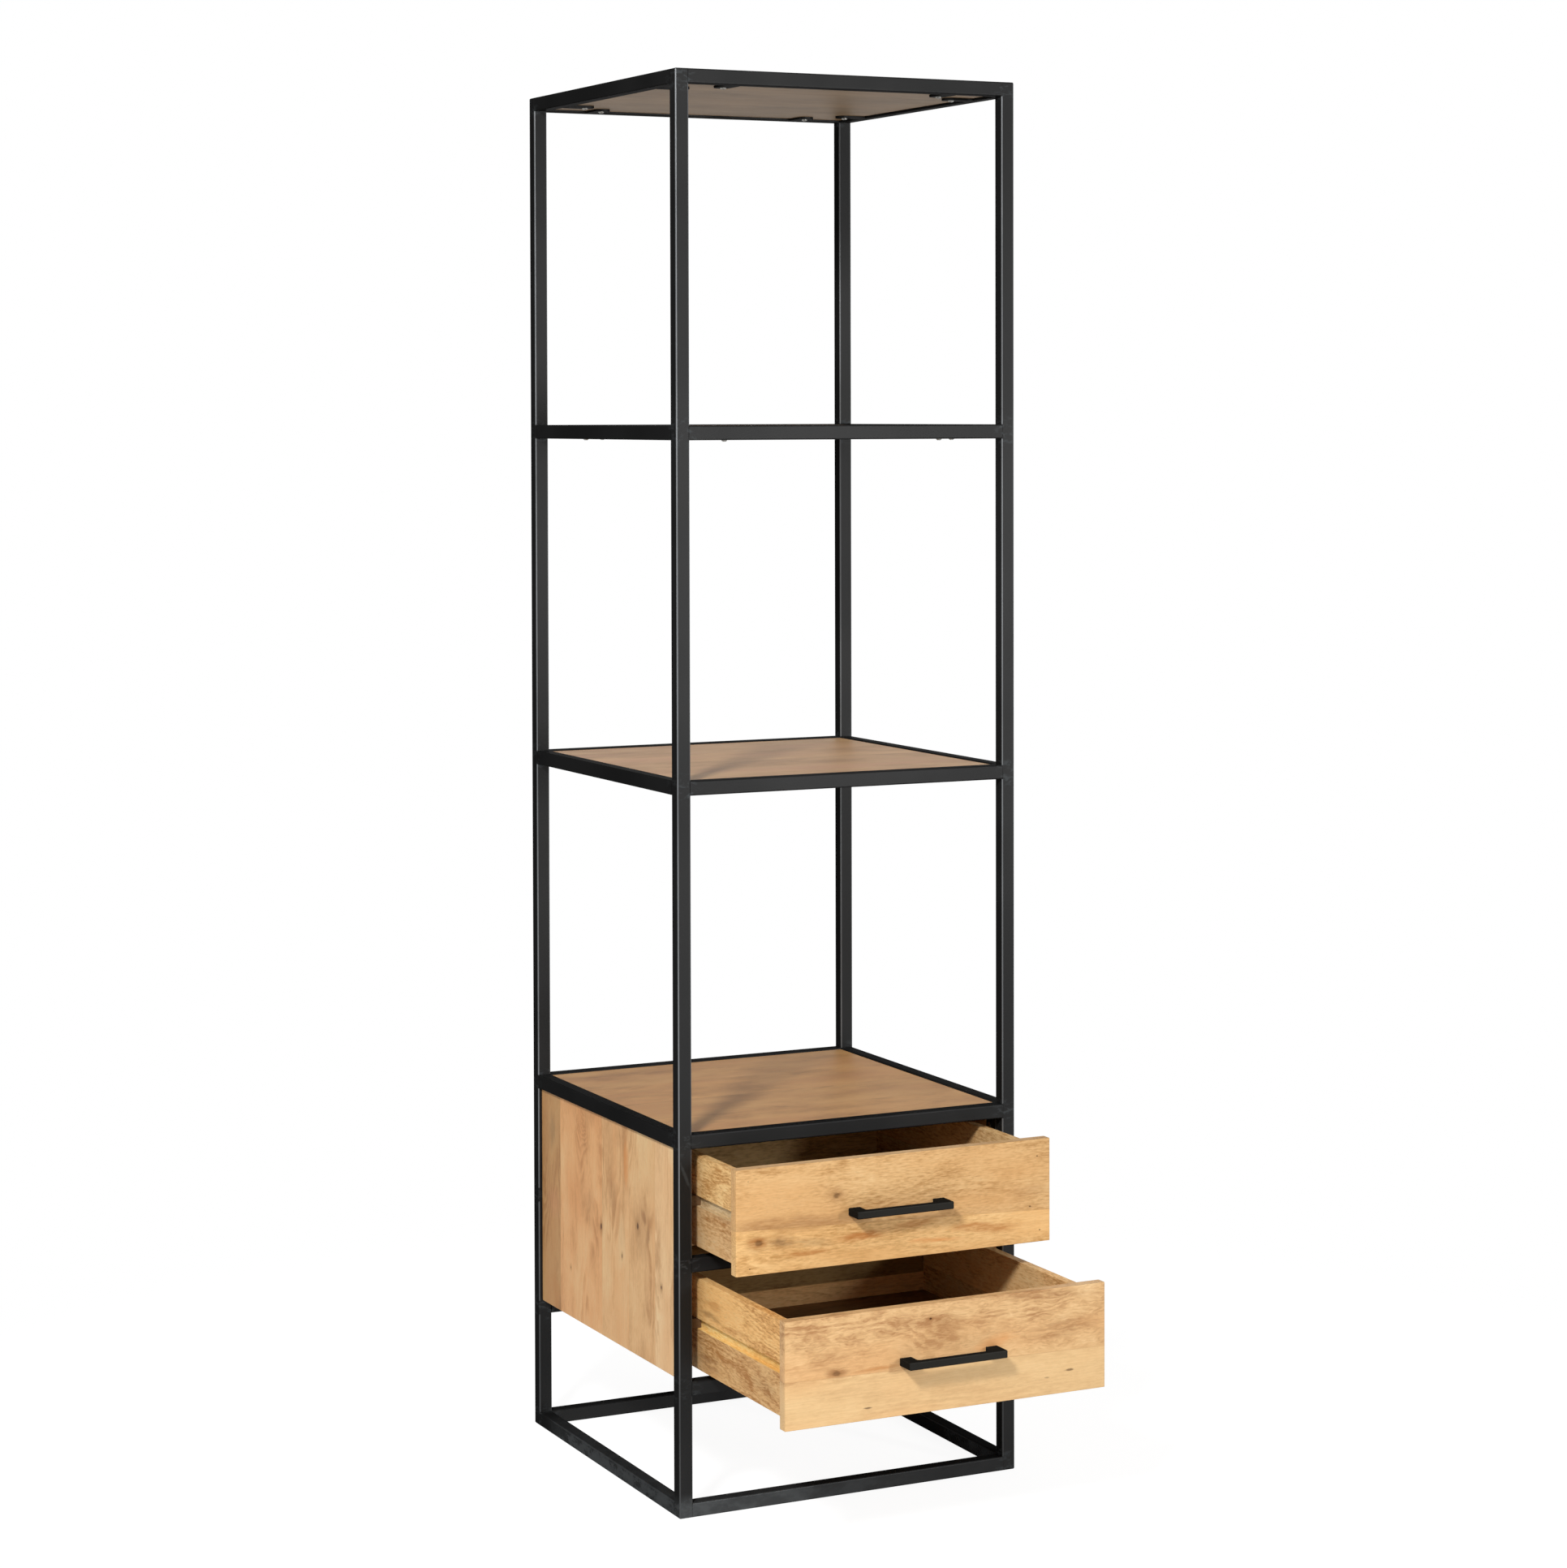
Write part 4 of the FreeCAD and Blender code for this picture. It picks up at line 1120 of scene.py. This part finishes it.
@dataclass
class Drawer:
    """A drawer: its front, grooved sides, back, bottom and bow handle.

    Attributes:
        name: upper or lower.
        low: the front's lower edge.
        open_depth: how far the drawer stands open.
        front_inset: from the frame's outside to the front's end.
        front_height: the front's height.
        front_thick: the front's thickness.
        round_edge: rounding of the front's upright edges.
        box_rise: from the front's lower edge to the box.
        side_inset: from the frame's outside to the outside of a side.
        side_thick: thickness of a side.
        side_height: height of a side.
        box_length: length of the sides.
        groove_height: height of the runner groove.
        groove_depth: depth of the runner groove.
        slot_rise: from a side's lower edge to the bottom's groove.
        slot_height: height of the bottom's groove.
        slot_depth: depth of the bottom's groove.
        handle_length: outside length of the handle.
        handle_foot: width of the handle's foot.
        handle_reach: from the front to the handle's outside.
        handle_bar: thickness and height of the handle's grip.
        handle_round: rounding inside the handle's bends.
    """

    name: str
    low: float
    open_depth: float
    front_inset: float = 0.0205
    front_height: float = 0.136
    front_thick: float = 0.016
    round_edge: float = 0.002
    box_rise: float = 0.007
    side_inset: float = 0.035
    side_thick: float = 0.012
    side_height: float = 0.120
    box_length: float = 0.440
    groove_height: float = 0.013
    groove_depth: float = 0.006
    slot_rise: float = 0.020
    slot_height: float = 0.0042
    slot_depth: float = 0.005
    handle_length: float = 0.140
    handle_foot: float = 0.017
    handle_reach: float = 0.028
    handle_bar: float = 0.010
    handle_round: float = 0.0025

    @property
    def body(self) -> str:
        """Name the body that the drawer rides on."""
        return f"{self.name}_drawer"

    def build(self, palette: Palette) -> None:
        """Build the front, the two sides and the handle, and dress the rest of the box."""
        self.build_front(palette)
        for hand in ("left", "right"):
            self.build_side(palette, hand)
        self.build_handle(palette)
        dress_node(f"{self.body}_back", palette.woods[f"mango_{self.name}_back"])
        dress_node(f"{self.body}_bottom", palette.woods["mango_drawer_bottom_painted_shade"])
        dress_node(f"{self.body}_dowels", palette.woods["dowel_beech"])
        dress_node(f"{self.body}_handle_screws", palette.zinc)

    def build_front(self, palette: Palette) -> None:
        """Build the front: an outline with rounded upright edges, carried up its height."""
        outline = rounded_outline(
            (self.front_inset, -self.open_depth),
            (SPAN - self.front_inset, -self.open_depth + self.front_thick), self.round_edge, 6)
        front = Piece(f"{self.body}_face", self.body, "front_wood", (f"{self.body}_front",))
        front.add(carried(outline, 2, (self.low, self.low + self.front_height)))
        front.finish(palette.woods[f"mango_front_{self.name}"], easing=0.0008)

    def build_side(self, palette: Palette, hand: str) -> None:
        """Build a side: a board's section with its two grooves, carried along its length.

        Args:
            palette: the finishes.
            hand: left or right.
        """
        thick, tall = self.side_thick, self.side_height
        groove_low = (tall - self.groove_height) / 2
        groove_high = groove_low + self.groove_height
        slot_low, slot_high = self.slot_rise, self.slot_rise + self.slot_height
        slot_end = thick - self.slot_depth
        section = np.array([
            (0, 0), (thick, 0), (thick, slot_low), (slot_end, slot_low), (slot_end, slot_high),
            (thick, slot_high), (thick, tall), (0, tall), (0, groove_high),
            (self.groove_depth, groove_high), (self.groove_depth, groove_low), (0, groove_low)])
        outside, inward = (self.side_inset, 1) if hand == "left" else (SPAN - self.side_inset, -1)
        bottom = self.low + self.box_rise
        section = section * (inward, 1) + (outside, bottom)
        start = -self.open_depth + self.front_thick
        side = Piece(f"{self.body}_{hand}_cheek", self.body, "drawer_box_wood",
                     (f"{self.body}_{hand}_side",))
        side.add(carried(section, 1, (start, start + self.box_length)))
        near, far = sorted(outside + inward * reach for reach in (ROOM, self.groove_depth + ROOM))
        side.line(palette.woods[f"mango_raw_{self.name}"],
                  (near, -1.0, bottom + groove_low - ROOM), (far, 1.0, bottom + groove_high + ROOM))
        side.finish(palette.woods[f"mango_side_{self.name}_{hand}"], easing=0.0006)

    def build_handle(self, palette: Palette) -> None:
        """Build the bow handle: the outline of a bow, seen from above, carried up its height."""
        end = self.handle_length / 2
        foot = end - self.handle_foot
        wall, far = -self.open_depth, -self.open_depth - self.handle_reach
        turn = np.linspace(0, np.pi / 2, 5)
        bend = np.stack([1 - np.sin(turn), 1 - np.cos(turn)], -1) * self.handle_round
        bend += (-foot, far + self.handle_bar)
        outline = np.concatenate([
            [(-end, wall), (-end, far), (end, far), (end, wall), (foot, wall)],
            bend[::-1] * (-1, 1), bend, [(-foot, wall)]]) + (SPAN / 2, 0)
        bottom = self.low + (self.front_height - self.handle_bar) / 2
        handle = Piece(f"{self.body}_bow_handle", self.body, "black_handle",
                       (f"{self.body}_handle",))
        handle.add(carried(outline, 2, (bottom, bottom + self.handle_bar)))
        handle.finish(palette.handle_coat, easing=0.0015)


def dress_cabinet(palette: Palette) -> None:
    """Dress the cabinet's three panels, and the tabs, screws and runners inside it."""
    dress_node("side_panel_left", palette.woods["mango_panel_left"])
    dress_node("side_panel_right", palette.woods["mango_panel_right"])
    dress_node("back_panel", palette.woods["mango_panel_back"])
    dress_node("panel_tabs", palette.coat)
    dress_node("panel_screws", palette.zinc)
    dress_node("runner_screws", palette.zinc)
    for drawer in ("upper", "lower"):
        for hand in ("left", "right"):
            dress_node(f"{drawer}_{hand}_runner", palette.woods["runner_hardwood"])


# ---------------- studio


def seen_directly(graph: Graph) -> Socket:
    """Tell rays that show a surface from rays that only carry its light."""
    rays = graph.add("LightPath", {}).outputs
    seen = rays["Is Camera Ray"]
    for name in ("Is Glossy Ray", "Is Transmission Ray"):
        seen = graph.math("MAXIMUM", seen, rays[name])
    return seen


def faced(place: tuple, azimuth: float, elevation: float, roll: float = 0.0) -> Matrix:
    """Place and turn a lamp or camera, which look along their own -Z.

    Args:
        place: its place.
        azimuth: degrees by which its back points to the right of straight in front.
        elevation: degrees by which its back points above level.
        roll: degrees by which it rolls to the left.

    Returns:
        Its matrix.
    """
    turn, rise, lean = (math.radians(angle) for angle in (azimuth, 90 - elevation, roll))
    return (Matrix.Translation(place) @ Matrix.Rotation(turn, 4, "Z")
            @ Matrix.Rotation(rise, 4, "X") @ Matrix.Rotation(lean, 4, "Z"))


@dataclass
class Lamp:
    """A soft box.

    Attributes:
        TARGET: the point that every lamp faces.
        name: its name.
        azimuth: degrees to the right of straight in front of the object.
        elevation: degrees above level.
        distance: from the point that it faces.
        size: its width and height.
        level: how bright a white face turned to it becomes.
    """

    TARGET = (0.0, 0.1, 0.95)

    name: str
    azimuth: float
    elevation: float
    distance: float
    size: tuple[float, float]
    level: float

    def build(self) -> None:
        """Add the lamp: its power gives its level at the target's distance."""
        light = bpy.data.lights.new(self.name, "AREA")
        light.shape = "RECTANGLE"
        light.size, light.size_y = self.size
        light.energy = self.level * (math.pi * self.distance) ** 2
        lamp = bpy.data.objects.new(self.name, light)
        turned = faced(self.TARGET, self.azimuth, self.elevation)
        lamp.matrix_world = turned @ Matrix.Translation((0.0, 0.0, self.distance))
        bpy.context.scene.collection.objects.link(lamp)


@dataclass
class Studio:
    """The pale floor, the white surround, the soft boxes and the camera.

    Attributes:
        ambient: brightness of the surround's light on the object.
        floor_radius: radius of the floor.
        floor_level: its height, a little below the base tubes.
        shadow_radius: radius within which the floor shows its shadow.
        floor_lift: how far the shown floor is lifted towards white.
        lens: the camera's focal length in millimetres.
        place: the camera's place.
        turn: the azimuth, elevation and roll of its back, in degrees.
        shift: the camera's upward shift.
    """

    ambient: float = 0.26
    floor_radius: float = 9.0
    floor_level: float = -0.0005
    shadow_radius: float = 1.5
    floor_lift: float = 0.74
    lens: float = 81.96
    place: tuple[float, float, float] = (-2.1452, -4.2926, 1.4345)
    turn: tuple[float, float, float] = (-26.046, 1.547, -0.137)
    shift: float = -0.1744

    def build(self) -> None:
        """Build the studio."""
        self.build_world()
        self.build_floor()
        Lamp("key", -42.0, 28.0, 4.2, (0.55, 0.55), 0.70).build()
        Lamp("front_strip", 25.0, 2.5, 4.5, (0.3, 1.1), 0.29).build()
        self.build_camera()

    def build_world(self) -> None:
        """Surround the object with white that lights it more softly than it shows."""
        world = bpy.data.worlds.new("surround")
        bpy.context.scene.world = world
        graph = Graph(world)
        level = graph.add("MapRange", {0: seen_directly(graph), 3: self.ambient, 4: 1.0})
        inputs = {"Color": WHITE, "Strength": level.outputs[0]}
        graph.add("OutputWorld", {"Surface": graph.add("Background", inputs).outputs[0]})

    def build_floor(self) -> None:
        """Lay a pale round floor that shows a faint shadow and fades into the surround.

        Ring i has the radius of the floor times (i / 12)^2, so that the rings crowd inwards.
        """
        turns = np.linspace(0, 2 * np.pi, 97)[:-1]
        radii = (np.linspace(0, 1, 13)[1:] ** 2 * self.floor_radius)[:, None]
        x, y = radii * np.cos(turns), radii * np.sin(turns)
        points = np.stack([x, y, np.full_like(x, self.floor_level)], -1).reshape(-1, 3)
        index = np.arange(len(points)).reshape(x.shape)
        inner, outer = index[:-1], index[1:]
        faces = np.stack([inner, outer, np.roll(outer, -1, 1), np.roll(inner, -1, 1)], -1)
        mesh = bpy.data.meshes.new("floor")
        mesh.from_pydata(points.tolist(), [], faces.reshape(-1, 4).tolist() + [index[0].tolist()])
        mesh.materials.append(self.floor_finish())
        floor = bpy.data.objects.new("floor", mesh)
        bpy.context.scene.collection.objects.link(floor)

    def floor_finish(self) -> Material:
        """Mix a pale floor that carries light with a white one that keeps a faint shadow."""
        graph = Graph(bpy.data.materials.new("pale_floor"))
        point = graph.point()
        fleck = graph.noise(point, (60.0, 60.0, 60.0), 3.0)
        pale = graph.blend(fleck, shade(226, 226, 226), shade(234, 234, 234))
        radius = graph.distance(point, (0.0, 0.1, 0.0))
        share = graph.ease(radius, self.shadow_radius, self.shadow_radius * 0.45, 0.0, 0.3)
        plain = graph.add("BsdfDiffuse", {"Color": pale}).outputs[0]
        white, lift = (graph.add("Emission", {"Color": WHITE, "Strength": strength}).outputs[0]
                       for strength in (1.0, self.floor_lift))
        lifted = graph.add("AddShader", {0: plain, 1: lift}).outputs[0]
        shown = graph.add("MixShader", {0: share, 1: white, 2: lifted}).outputs[0]
        mixed = graph.add("MixShader", {0: seen_directly(graph), 1: plain, 2: shown}).outputs[0]
        graph.add("OutputMaterial", {"Surface": mixed})
        return graph.owner

    def build_camera(self) -> None:
        """Place the camera."""
        lens = bpy.data.cameras.new("camera")
        lens.lens, lens.sensor_width, lens.shift_y = self.lens, 36.0, self.shift
        lens.clip_start, lens.clip_end = 0.05, 50.0
        camera = bpy.data.objects.new("camera", lens)
        camera.matrix_world = faced(self.place, *self.turn)
        bpy.context.scene.collection.objects.link(camera)
        bpy.context.scene.camera = camera


def main() -> None:
    """Build and dress the bookcase, then its studio."""
    logging.basicConfig(level=logging.INFO, format="%(name)s: %(message)s")
    palette = Palette()
    TubeFrame().build(palette.coat)
    ShelfBoards().build(palette)
    dress_cabinet(palette)
    for name, low, open_depth in (("upper", 0.342, 0.130), ("lower", 0.181, 0.270)):
        Drawer(name, low, open_depth).build(palette)
    Studio().build()
    bpy.context.scene.view_settings.view_transform = "Standard"


if __name__ == "__main__":
    main()
